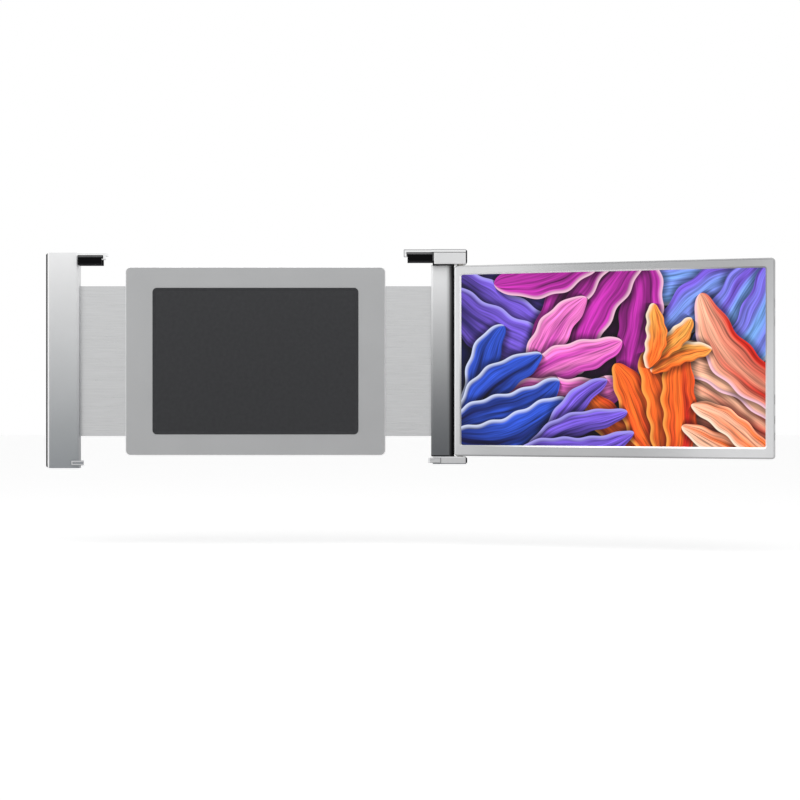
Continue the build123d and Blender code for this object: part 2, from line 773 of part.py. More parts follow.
# ---------------------------------------------------------------- lid clips
def clip_bar(side, x_tip, x_end, y_front, z):
    """The clip's face: raised rims round a channel that is open at the lid end."""
    bar = slab((x_tip, x_end), (y_front, y_front + clip_t), clip_band(z, clip_h))
    bar = fillet(edges_along(bar, Axis.Y, x=x_end), clip_round)
    bar = chamfer(edges_along(bar, Axis.X, y=y_front), clip_bevel)
    return bar - slab((x_tip, x_end - side * clip_channel_end), (y_front, y_front + clip_channel_d),
                      clip_band(z, clip_channel_h))


def left_clip():
    x_end = -(inner_x - clip_over + clip_l)
    y_front = -lid_t - clip_t
    neck_x = clip_neck_x()
    clip = clip_bar(-1, x_end + clip_l, x_end, y_front, left_clip_z)
    neck_end = neck_x + clip_neck_l
    foot_y = -bar_front + bar_wall + slide_gap
    clip += slab((neck_x, neck_end), (y_front + clip_t, foot_y + clip_foot_t),
                 clip_band(left_clip_z, clip_neck_h))
    return clip + slab((neck_end - clip_foot_l, neck_end), (foot_y, foot_y + clip_foot_t),
                       clip_band(left_clip_z, clip_foot_h))


def right_clip():
    x_tip = right_clip_end - clip_l
    y_front = -arm_front - clip_proud
    clip = clip_bar(1, x_tip, right_clip_end, y_front, right_clip_z)
    clip += slab((x_tip, x_tip + clip_tip), (y_front + clip_t, -lid_t), clip_band(right_clip_z, clip_h))
    x = (right_clip_end - clip_foot_end, right_clip_end - clip_neck_inset)
    foot_y = clip_face_y + clip_web + slide_gap
    clip += slab(x, (y_front + clip_t, foot_y), clip_band(right_clip_z, clip_neck_h))
    return clip + slab(x, (foot_y, foot_y + clip_foot_t), clip_band(right_clip_z, clip_foot_h))


# ---------------------------------------------------------------- hinge, on the bracket
def hinge_bushes():
    """Each bush stands proud of its arm, as the thrust face for the monitor."""
    bushes = []
    for up, face in ((1, top_arm_z), (-1, bottom_arm_z)):
        z0, z1 = sorted((up * (half_h + slide_gap), face + up * bush_h))
        bushes.append(post_z(bush_r, hinge_x, hinge_y, z0, z1)
                      - post_z(pin_r + turn_gap, hinge_x, hinge_y, z0, z1))
    return bushes


# ---------------------------------------------------------------- monitor, in its own frame
# x runs along the monitor from the hinge axis, y from its front to its back, z up.
def monitor_place(shape):
    return Pos(hinge_x, hinge_y, 0) * (Rot(0, 0, -rest_swing) * shape)


def monitor_outline(inset, y0, y1):
    outline = RectangleRounded(monitor_w - 2 * inset, monitor_h - 2 * inset, monitor_corner - inset)
    return along_y(outline, y0, y1, monitor_x0 + monitor_w / 2)


def case_screw_places():
    across = case_screw_x + (monitor_x1 - case_screw_side,)
    return [(x, up * (half_h - case_screw_edge)) for x in across for up in (-1, 1)]


def leaf_boss_places():
    return [(x, up * (leaf_z0 + leaf_h / 2)) for x in leaf_screw_x for up in (-1, 1)]


def monitor_bezel():
    shell = monitor_outline(0, -half_t, part_y)
    shell = fillet(shell.faces().sort_by(Axis.Y)[0].edges(), monitor_edge)
    shell -= monitor_outline(monitor_wall, -skin_y, part_y)
    opening = RectangleRounded(picture_w, picture_h, picture_corner)
    shell -= along_y(opening, -half_t, -skin_y, picture_x, picture_z)
    shell = bevel_picture_opening(shell)
    for x, z in case_screw_places():
        shell += post_y(case_boss_r, x, z, -skin_y, part_y)
        shell -= post_y(M1_6[0] + seat_gap, x, z, -skin_y + case_blind_skin, part_y)
    for x, z in leaf_boss_places():
        shell += post_y(case_boss_r, x, z, -skin_y, -leaf_t / 2)
        shell -= post_y(leaf_screw[0] + seat_gap, x, z, -skin_y + leaf_blind_skin, -leaf_t / 2)
    for up in (-1, 1):
        z0, z1 = sorted((up * (half_h - monitor_wall), up * half_h))
        shell -= post_z(pin_r + pin_passage, 0, 0, z0, z1)
    wall_x = (monitor_x1 - monitor_wall, monitor_x1)
    for z in usb_z:
        shell -= port_cut(wall_x, usb_w, usb_t, z)
    shell -= port_cut(wall_x, hdmi_w, hdmi_t, hdmi_z)
    for z in button_z:
        shell -= slab(wall_x, (-button_t / 2 - slide_gap, button_t / 2 + slide_gap),
                      (z - button_l / 2 - slide_gap, z + button_l / 2 + slide_gap))
    return shell


def bevel_picture_opening(shell):
    """The bright bevel round the picture, down to a narrow land."""
    depth = monitor_skin - picture_land
    wide = Pos(picture_x, 0, picture_z) * (Rot(90, 0, 0) * RectangleRounded(
        picture_w + 2 * picture_bevel_w, picture_h + 2 * picture_bevel_w, picture_corner + picture_bevel_w))
    narrow = Pos(picture_x, depth, picture_z) * (Rot(90, 0, 0) * RectangleRounded(
        picture_w, picture_h, picture_corner))
    cutter = loft([face for sketch in (wide, narrow) for face in sketch.faces()])
    return shell - Pos(0, -half_t, 0) * cutter


def port_cut(wall_x, width, thickness, z):
    half_w = width / 2 + port_wall_cut
    half_y = thickness / 2 + port_wall_cut
    return slab(wall_x, (-half_y, half_y), (z - half_w, z + half_w))


def monitor_back_cover():
    cover = monitor_outline(0, part_y, half_t)
    cover = fillet(cover.faces().sort_by(Axis.Y)[-1].edges(), monitor_edge)
    cover -= monitor_outline(monitor_wall, part_y, skin_y)
    cover -= border_groove(monitor_w, monitor_h, back_groove_inset, monitor_corner, half_t,
                           monitor_x0 + monitor_w / 2)
    for i in range(vent_count):
        for z in vent_z:
            slot = Rot(0, 0, 90) * SlotOverall(vent_l, vent_w)
            cover -= along_y(slot, skin_y, half_t, vent_x + i * vent_pitch, z)
    for x, z in case_screw_places():
        cover += post_y(case_boss_r, x, z, part_y, skin_y)
        cover -= screw_hole_y(*M1_6, x, z, part_y, half_t)
    return cover


def back_cover_screws():
    return [screw_y(*M1_6, x, z, -skin_y + case_tip_skin, half_t) for x, z in case_screw_places()]


def panel_sheet(y0, y1, inset=0.0, foot=0.0):
    return slab((panel_x0 + inset, panel_x1 - inset), (y0, y1),
                (panel_z0 + inset + foot, panel_z1 - inset))


def display_panel():
    return panel_sheet(panel_y0, panel_y0 + panel_t)


def light_guide():
    return panel_sheet(guide_plate_y, guide_plate_y + guide_plate_t, guide_inset, led_h)


def led_strip():
    y = (guide_plate_y + lay_gap, guide_plate_y + guide_plate_t - lay_gap)
    return slab((panel_x0 + guide_inset, panel_x1 - guide_inset), y, (panel_z0 + led_end, panel_z0 + led_h))


def panel_tray():
    """A thin steel pan round the panel and the light guide, with standoffs for the driver board."""
    rim = tray_margin + tray_t
    pan = slab((panel_x0 - rim, panel_x1 + rim), (panel_y0, tray_y1), (panel_z0 - rim, panel_z1 + rim))
    room = slab((panel_x0 - tray_margin, panel_x1 + tray_margin), (panel_y0, tray_y1 - tray_t),
                (panel_z0 - tray_margin, panel_z1 + tray_margin))
    pan -= room
    for x, z in standoff_places():
        pan += post_y(standoff_r, x, z, tray_y1, board_y)
    return pan


def board_limits():
    x1 = monitor_x1 - monitor_wall - slide_gap
    z0 = usb_z[0] - board_below_port
    return (x1 - board_w, x1), (z0, z0 + board_h)


def standoff_places():
    (x0, _), (z0, _) = board_limits()
    return [(x0 + x, z0 + z) for x in standoff_x for z in standoff_z]


def driver_board():
    x, z = board_limits()
    board = slab(x, (board_y, board_y + board_t), z)
    chip_y = (board_y + board_t, skin_y - chip_gap)
    for chip_x, chip_z, size in chips:
        cx = x[0] + chip_x
        cz = z[0] + chip_z
        board += slab((cx - size / 2, cx + size / 2), chip_y, (cz - size / 2, cz + size / 2))
    return board


def timing_board():
    return slab(timing_x, (tray_y1, tray_y1 + board_t), [panel_z0 + z for z in timing_z])


def panel_ribbon():
    """Flat cable on the timing board's back, slipped under the driver board."""
    y0 = tray_y1 + board_t
    (x0, _), _ = board_limits()
    return slab((ribbon_x, x0 + ribbon_over), (y0, y0 + ribbon_t), [panel_z0 + z for z in ribbon_z])


def port_shell(width, thickness, z):
    """A port's metal shell with its tongue, open at the monitor's edge."""
    x1 = monitor_x1 - port_inset
    x0 = x1 - port_l
    half_w = width / 2
    half_y = thickness / 2
    body = slab((x0, x1), (-half_y, half_y), (z - half_w, z + half_w))
    body -= slab((x0 + port_back, x1), (-half_y + port_metal, half_y - port_metal),
                 (z - half_w + port_metal, z + half_w - port_metal))
    half_tongue = half_w * port_tongue_share
    return body + slab((x0 + port_back, x1 - port_back), (-port_tongue_t / 2, port_tongue_t / 2),
                       (z - half_tongue, z + half_tongue))


def button_board():
    """A narrow board on edge, with one switch for each button."""
    x0 = panel_x1 + tray_margin + tray_t + slide_gap
    z = (min(button_z) - button_board_end, max(button_z) + button_board_end)
    board = slab((x0, x0 + button_board_t), button_board_y, z)
    switch_x = button_inner_x - button_travel - slide_gap
    for z in button_z:
        board += slab((x0, switch_x), (-switch_t / 2, switch_t / 2), (z - switch_w / 2, z + switch_w / 2))
    return board


def edge_button(z):
    """A button cap with a flange behind the monitor's wall."""
    half_l = button_l / 2
    cap = slab((button_inner_x, monitor_x1 + button_proud), (-button_t / 2, button_t / 2),
               (z - half_l, z + half_l))
    cap = fillet(edges_along(cap, Axis.X), button_round)
    flange_z = (z - half_l - button_flange, z + half_l + button_flange)
    return cap + slab((button_inner_x, button_inner_x + button_flange),
                      (-button_flange_t / 2, button_flange_t / 2), flange_z)


def hinge_leaf(up):
    """A barrel round the pin and a strap along the bezel."""
    z0, z1 = sorted((up * leaf_z0, up * leaf_z1))
    leaf = post_z(barrel_r, 0, 0, z0, z1) + slab((0, leaf_l), (-leaf_t / 2, leaf_t / 2), (z0, z1))
    leaf -= post_z(pin_r + seat_gap, 0, 0, z0, z1)
    for x, z in leaf_boss_places():
        if z * up > 0:
            leaf -= post_y(leaf_screw[0] + seat_gap, x, z, -leaf_t / 2, leaf_t / 2)
    return leaf


def hinge_leaf_screws():
    head_y = leaf_t / 2 + leaf_screw[2]
    return [screw_y(*leaf_screw, x, z, -skin_y + leaf_tip_skin, head_y) for x, z in leaf_boss_places()]


def hinge_pin(up):
    """Fixed in the monitor's leaf, turning in the arm's bush."""
    if up > 0:
        return post_z(pin_r, 0, 0, leaf_z0, cap_z - slide_gap)
    return post_z(pin_r, 0, 0, bar_bottom + bottom_arm_skin + slide_gap, -leaf_z0)


def stack_z():
    return top_arm_z + bush_h + slide_gap


def friction_washers():
    """Turn with the pin, pressed on the bush by the nut."""
    rings = []
    for i in range(washers):
        z0 = stack_z() + i * (washer_t + lay_gap)
        ring = post_z(bush_r, 0, 0, z0, z0 + washer_t)
        rings.append(ring - post_z(pin_r + seat_gap, 0, 0, z0, z0 + washer_t))
    return rings


def hinge_nut():
    z0 = stack_z() + washers * (washer_t + lay_gap)
    nut = Pos(0, 0, z0) * extrude(RegularPolygon(nut_flats, 6, major_radius=False), amount=nut_t)
    return nut - post_z(pin_r + seat_gap, 0, 0, z0, z0 + nut_t)


# ---------------------------------------------------------------- kickstand
def stand_notch(side):
    """Room in the leg for one lug of the base."""
    half = lug_w / 2 + slide_gap
    return slab((side * (lug_x - half), side * (lug_x + half)), (back_y, stand_y + stand_barrel_r + 1),
                (stand_axis_z - stand_barrel_r - 1, stand_axis_z + stand_barrel_r + 1))


def stand_plate():
    """The leg's flat outline with its foot, square at the hinge and rounded at the far end."""
    y0 = stand_y - stand_barrel_r
    half_w = stand_w / 2
    plate = along_y(RectangleRounded(stand_w, stand_h, stand_corner), y0, y0 + stand_t, 0,
                    stand_axis_z + stand_h / 2)
    return plate + slab((-half_w, half_w), (y0, y0 + stand_t), (stand_axis_z, stand_axis_z + stand_corner))


def stand_foot_zone():
    """The far end of the leg, which the rubber foot takes up."""
    y0 = stand_y - stand_barrel_r
    top = stand_axis_z + stand_h
    return slab((-stand_w / 2, stand_w / 2), (y0, y0 + stand_t), (top - foot_h, top))


def kickstand_leg():
    leg = stand_plate() - stand_foot_zone()
    leg += post_x(stand_barrel_r, stand_y, stand_axis_z, -stand_w / 2, stand_w / 2)
    for side in (-1, 1):
        leg -= stand_notch(side)
        leg -= stand_pin(side, turn_gap)
    return leg


def kickstand_foot():
    return stand_plate() & stand_foot_zone()


def stand_pin(side, gap=0.0):
    outer = stand_w / 2 - stand_pin_inset
    x0, x1 = sorted((side * (outer - stand_pin_l), side * outer))
    return post_x(stand_pin_r + gap, stand_y, stand_axis_z, x0 - gap, x1 + gap)


def kickstand_pins():
    return [stand_pin(side) for side in (-1, 1)]


def kickstand_lugs():
    lugs = []
    for side in (-1, 1):
        x0, x1 = sorted((side * (lug_x - lug_w / 2), side * (lug_x + lug_w / 2)))
        lug = post_x(stand_barrel_r, stand_y, stand_axis_z, x0, x1)
        z = (stand_axis_z - stand_barrel_r, stand_axis_z + stand_barrel_r)
        lug += slab((x0, x1), (back_y, stand_y), z)
        lugs.append(lug - post_x(stand_pin_r + seat_gap, stand_y, stand_axis_z, x0, x1))
    return lugs


# ---------------------------------------------------------------- all nodes
def monitor_nodes():
    return {
        "monitor_bezel": monitor_bezel(),
        "monitor_back_cover": monitor_back_cover(),
        "back_cover_screws": back_cover_screws(),
        "display_panel": display_panel(),
        "light_guide": light_guide(),
        "led_strip": led_strip(),
        "panel_tray": panel_tray(),
        "timing_board": timing_board(),
        "panel_ribbon": panel_ribbon(),
        "driver_board": driver_board(),
        "usb_c_port_lower": port_shell(usb_w, usb_t, usb_z[0]),
        "usb_c_port_upper": port_shell(usb_w, usb_t, usb_z[1]),
        "mini_hdmi_port": port_shell(hdmi_w, hdmi_t, hdmi_z),
        "button_board": button_board(),
        "power_button": edge_button(button_z[0]),
        "menu_button": edge_button(button_z[1]),
        "upper_hinge_leaf": hinge_leaf(1),
        "lower_hinge_leaf": hinge_leaf(-1),
        "hinge_leaf_screws": hinge_leaf_screws(),
        "upper_hinge_pin": hinge_pin(1),
        "lower_hinge_pin": hinge_pin(-1),
        "friction_washers": friction_washers(),
        "hinge_nut": hinge_nut(),
    }


def base_and_bar_nodes():
    return {
        "lid_liner": lid_liner(),
        "base_front_plate": base_front_plate(),
        "base_back_cover": base_back_cover(),
        "base_screws": base_screws(),
        "slide_stops": slide_stops(),
        "left_slide_guides": slide_guides(-1),
        "right_slide_guides": slide_guides(1),
        "left_friction_springs": friction_springs(-1),
        "right_friction_springs": friction_springs(1),
        "kickstand_lugs": kickstand_lugs(),
        "kickstand_pins": kickstand_pins(),
        "kickstand_leg": kickstand_leg(),
        "kickstand_foot": kickstand_foot(),
        "left_slide_plate": slide_plate(-1),
        "left_bar_shell": left_bar_shell(),
        "left_bar_back_cover": bar_cover(-1, inner_x + bar_w, left_bottom, left_top),
        "left_edge_trim": left_edge_trim(),
        "left_bar_screws": bar_screws(-1, -bar_front + bar_wall),
        "left_hook_cap": left_hook_cap(),
        "left_hook_screws": left_hook_screws(),
        "left_hook_pad": left_hook_pad(),
        "left_clip": left_clip(),
        "right_slide_plate": slide_plate(1),
        "spine_shell": spine_shell(),
        "spine_side_strip": spine_side_strip(),
        "spine_back_cover": bar_cover(1, strip_x, bottom_arm_z, top_arm_z),
        "spine_screws": bar_screws(1, -spine_front + bar_wall),
        "top_arm": top_arm(),
        "top_arm_screws": top_arm_screws(),
        "top_arm_end_cap": end_cap(top_arm_z, bar_top),
        "bottom_arm": bottom_arm(),
        "bottom_arm_screws": bottom_arm_screws(),
        "bottom_arm_end_cap": end_cap(bar_bottom, bottom_arm_z),
        "right_hook_cap": right_hook_cap(),
        "right_hook_pad": right_hook_pad(),
        "right_clip": right_clip(),
        "hinge_bushes": hinge_bushes(),
    }


def write_node(name, pieces, place=None):
    """One STEP file, with one solid or a group of like solids."""
    solids = pieces if isinstance(pieces, list) else [pieces]
    placed = [place(solid) if place else solid for solid in solids]
    shape = placed[0] if len(placed) == 1 else Compound(children=placed)
    export_step(shape, f"parts/{name}.step")


if __name__ == "__main__":
    os.makedirs("parts", exist_ok=True)
    for node, pieces in base_and_bar_nodes().items():
        write_node(node, pieces)
    for node, pieces in monitor_nodes().items():
        write_node(node, pieces, monitor_place)
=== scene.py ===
"""Finishes and soft parts of a laptop screen extender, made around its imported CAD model."""
import math

import bpy
from bpy.props import FloatProperty, FloatVectorProperty, IntProperty, PointerProperty
from bpy.types import Operator, Panel, PropertyGroup
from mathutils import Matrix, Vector


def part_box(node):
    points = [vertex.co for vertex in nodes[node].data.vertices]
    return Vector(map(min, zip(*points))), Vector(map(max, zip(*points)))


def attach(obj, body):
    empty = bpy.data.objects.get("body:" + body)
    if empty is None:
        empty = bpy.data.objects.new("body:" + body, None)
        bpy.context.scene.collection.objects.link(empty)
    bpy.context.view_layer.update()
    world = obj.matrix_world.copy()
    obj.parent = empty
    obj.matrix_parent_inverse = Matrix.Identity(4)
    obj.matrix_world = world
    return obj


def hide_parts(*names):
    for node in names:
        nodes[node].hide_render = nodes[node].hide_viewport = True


bl_info = {
    "name": "Laptop screen extender",
    "version": (1, 0, 0),
    "blender": (4, 5, 0),
    "location": "3D Viewport > Sidebar > Extender",
    "description": "Finishes, lit display, lid liner and stage of a clip-on second screen",
    "category": "Object",
}

MM = 0.001
FRONT = (0, -1, 0)

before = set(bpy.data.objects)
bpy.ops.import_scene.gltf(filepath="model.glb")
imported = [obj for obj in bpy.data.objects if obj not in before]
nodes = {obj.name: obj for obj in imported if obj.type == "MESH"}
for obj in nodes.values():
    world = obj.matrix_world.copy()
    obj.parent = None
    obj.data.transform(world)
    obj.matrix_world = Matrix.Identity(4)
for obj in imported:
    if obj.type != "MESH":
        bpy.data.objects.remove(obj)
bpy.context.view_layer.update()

SHELLS = ("monitor_bezel", "monitor_back_cover")
BASE_SHELLS = ("base_front_plate", "base_back_cover", "kickstand_leg")
LEFT_BAR = ("left_bar_shell", "left_bar_back_cover")
SPINE = ("spine_shell", "spine_back_cover")
# The arms' end caps stand dark where their ends lie in shade: painted shade as dark parts; the
# kickstand's lugs are dark trim of their own.
DARK_TRIM_AND_PAINTED_SHADE = ("top_arm_end_cap", "bottom_arm_end_cap", "kickstand_lugs")
BRUSHED = ("left_slide_plate", "right_slide_plate", "panel_tray")
SCREWS = ("base_screws", "left_bar_screws", "left_hook_screws", "spine_screws", "top_arm_screws",
          "bottom_arm_screws", "back_cover_screws", "hinge_leaf_screws", "hinge_nut")
STEEL = ("slide_stops", "kickstand_pins", "upper_hinge_leaf", "lower_hinge_leaf",
         "upper_hinge_pin", "lower_hinge_pin")
SPRINGS = ("left_friction_springs", "right_friction_springs", "friction_washers")
BOARDS = ("timing_board", "driver_board", "button_board")
PORTS = ("usb_c_port_lower", "usb_c_port_upper", "mini_hdmi_port")
BUTTONS = ("power_button", "menu_button")
NYLON = ("left_slide_guides", "right_slide_guides")


# ---------------------------------------------------------------- settings
def colour(name, text, value):
    return FloatVectorProperty(name=name, description=text, subtype="COLOR", size=3, min=0, max=1,
                               default=value)


def length(name, text, value):
    return FloatProperty(name=name, description=text, unit="LENGTH", default=value)


def position(name, text, value):
    return FloatVectorProperty(name=name, description=text, unit="LENGTH", size=len(value),
                               default=value)


def number(name, text, value):
    return FloatProperty(name=name, description=text, default=value)


class ExtenderFinish(PropertyGroup):
    """Colours and grain of the solid parts, with the painted light and shade on them."""
    silver: colour("Silver", "Blasted and anodised shells", (0.46, 0.465, 0.47))
    # A painted sheen at the monitor's ends; below, painted light towards its foot, painted shade on its
    # rim and a painted highlight on its rim at the hinge.
    silver_painted_sheen: colour("Silver, ends", "The monitor's shells at both ends", (0.68, 0.685, 0.69))
    level: number("Monitor level", "Brightness of the monitor's shells at half height", 1.05)
    painted_foot_light: number("Lower light", "How much brighter they get towards the foot", 0.15)
    rim_painted_shade: number("Rim tone", "How much the monitor's rolled rim is darkened", 0.28)
    hinge_rim_painted_highlight: number("Rim light", "How much its rim at the hinge is brightened", 0.20)
    # The left bar runs from painted light at its upper end to painted shade at its foot.
    bar_painted_light_top: colour("Bar, upper end", "The left bar at its upper end", (0.845, 0.848, 0.852))
    bar_painted_shade_foot: colour("Bar, lower end", "The left bar at its lower end", (0.306, 0.322, 0.335))
    bar_curve: number("Bar curve", "How late the left bar turns bright", 1.12)
    # The spine runs from painted light at its upper end to painted shade at its foot.
    spine_painted_light_top: colour("Spine, upper end", "The right spine at its upper end", (0.92, 0.925, 0.93))
    spine_foot_painted_shade: colour("Spine, lower end", "The right spine at its lower end", (0.136, 0.143, 0.151))
    spine_curve: number("Spine curve", "How late the spine turns bright", 1.6)
    # The top arm is painted lighter and the bottom arm darker: painted light above and painted shade
    # below, on one metal.
    top_arm: colour("Top arm", "Face of the block at the top", (0.75, 0.755, 0.76))
    bottom_arm: colour("Bottom arm", "Face of the arm at the bottom", (0.63, 0.635, 0.64))
    # Painted highlight on the slanted edges, and next its painted shade where they turn from the light.
    cut: colour("Cut edges", "Slanted edges that are cut bright", (1.0, 1.0, 1.0))
    cut_dim: colour("Cut edges, turned away", "The same where they look away from the light",
                    (0.40, 0.403, 0.408))
    bright: colour("Bright silver", "Polished caps and clips", (0.88, 0.885, 0.89))
    # Painted shade on the floor of the clips' channels.
    channel: colour("Clip channel", "Floor of the clips' channels", (0.33, 0.343, 0.362))
    clip_face: colour("Right clip", "Face of the right clip", (0.60, 0.605, 0.61))
    clip_rim: colour("Left clip", "Rim of the left clip", (0.62, 0.625, 0.63))
    # Painted shade along the right cap's rounded edges.
    outline: colour("Outline", "Shaded edges of the right cap", (0.30, 0.303, 0.308))
    seam: colour("Seam", "Shaded seams between metal pieces", (0.18, 0.183, 0.188))
    # The strip beside the spine is painted shade: painted light at its top, painted shade at its foot,
    # painted deep shade where it rolls back.
    strip_painted_light_top: colour("Strip, upper end", "The strip beside the spine, at its upper end",
                      (0.64, 0.64, 0.645))
    strip_painted_shade_foot: colour("Strip, lower end", "The same at its lower end", (0.13, 0.133, 0.138))
    deep_painted_shade: colour("Strip, rolled edge", "The strip where it rolls back", (0.004, 0.004, 0.0045))
    strip_curve: number("Strip curve", "How soon the strip turns dark", 3.2)
    # A painted highlight on the front of the pads' bead.
    bead: colour("Bead", "Front of the pads' bead", (0.18, 0.182, 0.186))
    # Dark trim: painted shade on the arms' end caps and the bar's edge trim, the lugs' own colour. Next,
    # painted light on the edge trim's inner side.
    trim: colour("Trim", "Dark moulded strips", (0.030, 0.031, 0.034))
    trim_painted_light_inner: colour("Trim, inner side", "The bar's trim where it meets the metal",
                       (0.36, 0.362, 0.366))
    rubber: colour("Rubber", "Moulded rubber pads", (0.003, 0.003, 0.0035))
    # A painted highlight along the lower edge of the pads' lips, paler than the rubber.
    lip_edge_painted_highlight: colour("Lip edge", "Lower edge of the pads' lips", (0.022, 0.022, 0.024))
    liner: colour("Liner", "Soft liner behind the lid", (0.030, 0.031, 0.034))
    grain: length("Blast grain", "Size of the blasted grain", 0.35 * MM)
    edge: length("Edge", "Width of the worn edges", 0.35 * MM)


class ExtenderSeams(PropertyGroup):
    """How far the painted lines of shade and highlight, and the seams, reach from the ends of the pieces
    that they lie on.
    """
    blur: length("Blur", "Soft edge of each line", 0.25 * MM)
    # A painted highlight on the left bar's outer edge.
    bar_rim_painted_highlight: length("Bar rim", "Bright rim on the left bar's outer side", 1.75 * MM)
    spine_side: length("Spine side", "Shade where the spine meets its strip", 3.0 * MM)
    # A line of painted shade along the spine's foot.
    spine_foot_painted_shade: length("Spine foot", "Dark line at the spine's foot", 1.2 * MM)
    arm_top: length("Top arm", "Line under the cap on the top arm", 0.45 * MM)
    arm_foot: length("Bottom arm", "Shade along the bottom arm's lower edge", 1.15 * MM)
    # Painted shade along the cap's upper edge and down its free end.
    cap_top: length("Cap, top", "Outline along the right cap's upper edge", 1.1 * MM)
    cap_end: length("Cap, end", "Outline down the right cap's free end", 0.9 * MM)
    cap_tip: length("Cap, tip", "Bright width of its turned-down tip", 3.5 * MM)
    cap_under: length("Cap, under", "Shade along the cap's edge above the pad", 0.45 * MM)
    clip_rim: length("Clip rim", "Depth of the left clip's bright rim", 0.18 * MM)
    # A painted highlight on the right clip's tip.
    clip_tip_painted_highlight: length("Clip tip", "Bright tip of the right clip", 2.0 * MM)
    clip_end: length("Clip end", "Seam at the right clip's closed end", 0.5 * MM)
    # The dark part of the bar's edge trim is painted shade.
    trim: length("Trim", "Dark part of the bar's trim", 1.5 * MM)
    # The pads' pale bead front is a painted highlight.
    bead_front: length("Bead front", "Depth of the pads' pale bead", 0.22 * MM)
    bead_top: length("Bead top", "Dark line above the left pad's bead", 1.1 * MM)
    # The band along the lips' lower edge is a painted highlight, paler than the rubber.
    lip: length("Lip", "Shade along the lips' lower edge", 1.35 * MM)
    # Painted shade on the monitor's rim, and last a painted highlight on its rim beside the hinge.
    rim: length("Monitor rim", "Shade along the monitor's upper and lower rim", 1.8 * MM)
    rim_side: length("Monitor side", "The same at its far side", 3.05 * MM)
    rim_edge: length("Monitor edge", "Where that shade ends near the edge", 1.7 * MM)
    rim_hinge: length("Monitor, hinge side", "Bright rim beside the hinge", 1.9 * MM)


class ExtenderPieces(PropertyGroup):
    """Sizes of the pieces that are modelled here."""
    liner_corner: length("Liner corner", "Radius of the liner's corners", 5.0 * MM)
    liner_edge: length("Liner edge", "Roll of the liner's edge", 0.25 * MM)
    liner_border: length("Liner border", "From the liner's edge to its pressed line", 2.6 * MM)
    liner_press: length("Pressed line", "Half the width of the pressed line", 0.7 * MM)
    liner_thread: length("Thread", "Pitch of the liner's threads", 0.7 * MM)
    lip_drop: length("Lip", "Height of the left hook's lips under its roof", 7.8 * MM)
    lip_step: length("Lip step", "How much higher the right hook's lips end", 3.3 * MM)
    lid_slot: length("Lid slot", "Depth of the hooks' slot", 8.0 * MM)
    rib_height: length("Rib height", "Height of the grip ribs", 0.35 * MM)
    rib_sunk: length("Rib root", "Depth of the ribs in their rubber", 0.2 * MM)
    rib_inset: length("Rib inset", "From a pad's end to its ribs", 2.0 * MM)
    rib_share: number("Rib share", "Rib width as a share of the pitch", 0.55)
    rib_round: number("Rib rounding", "As a share of the rib's height or half width", 0.6)
    pad_ribs: IntProperty(name="Pad ribs", description="Ribs in each hook", default=5)
    foot_ribs: IntProperty(name="Foot ribs", description="Ribs on the kickstand's foot", default=3)
    foot_corner: length("Foot corner", "From the foot's end to its ribs", 9.5 * MM)
    button_proud: length("Button", "How far the buttons stand out", 0.3 * MM)
    light_radius: length("Light", "Radius of the status light", 0.9 * MM)
    light_depth: length("Light depth", "Length of the status light", 0.5 * MM)
    light_round: number("Light rounding", "As a share of its length", 0.45)


class ExtenderStage(PropertyGroup):
    """Camera, lamps and floor."""
    camera: position("Camera", "Camera's place", (0.16565, -2.164, -0.0446))
    lens: number("Lens", "Focal length in millimetres", 85.0)
    floor_z: length("Floor", "Height of the floor", -0.215)
    floor_size: length("Floor size", "Length of the floor's sides", 14.0)
    floor_light: number("Floor light", "How much the floor is lifted where the camera sees it", 0.45)
    middle: position("Middle", "Where both lamps point", (0.15, 0.0, 0.0))
    key_place: position("Key lamp's place", "Above and in front", (0.05, -0.75, 0.95))
    key_size: position("Key lamp's size", "Width and height", (1.6, 0.6))
    key: FloatProperty(name="Key lamp", description="Its power", unit="POWER", default=5.0)
    fill_place: position("Fill lamp's place", "At the left", (-1.3, -1.5, 0.25))
    fill_size: position("Fill lamp's size", "Width and height", (1.0, 1.2))
    fill: FloatProperty(name="Fill lamp", description="Its power", unit="POWER", default=2.0)
    sky: number("Sky", "Strength of the even light", 0.55)


# ---------------------------------------------------------------- node helpers
class Value:
    """A node's output that is added, multiplied and compared in a formula as a number is."""

    def __init__(self, tree, socket):
        self.tree = tree
        self.socket = socket

    def __add__(self, other):
        return maths(self.tree, "ADD", self, other)

    def __sub__(self, other):
        return maths(self.tree, "SUBTRACT", self, other)

    def __rsub__(self, other):
        return maths(self.tree, "SUBTRACT", other, self)

    def __mul__(self, other):
        return maths(self.tree, "MULTIPLY", self, other)

    def __truediv__(self, other):
        return maths(self.tree, "DIVIDE", self, other)

    def __rtruediv__(self, other):
        return maths(self.tree, "DIVIDE", other, self)

    def __pow__(self, other):
        return maths(self.tree, "POWER", self, other)

    def __abs__(self):
        return maths(self.tree, "ABSOLUTE", self)

    def __lt__(self, other):
        return maths(self.tree, "LESS_THAN", self, other)

    def __gt__(self, other):
        return maths(self.tree, "GREATER_THAN", self, other)

    __radd__ = __add__
    __rmul__ = __mul__


def feed(tree, value, socket):
    """Sets a node's input to a constant, or links it to a node's output."""
    if isinstance(value, Value):
        value = value.socket
    if isinstance(value, bpy.types.NodeSocket):
        tree.links.new(value, socket)
    else:
        socket.default_value = value


def add_node(tree, kind, **values):
    """A node with its settings by attribute name. Its inputs go by socket name or number."""
    node = tree.nodes.new(kind)
    sockets = values.pop("inputs", {})
    for name, value in values.items():
        setattr(node, name, value)
    for name, value in sockets.items():
        feed(tree, value, node.inputs[name])
    return node


def result(tree, kind, output=0, **values):
    """A new node's output as a value."""
    return Value(tree, add_node(tree, kind, **values).outputs[output])


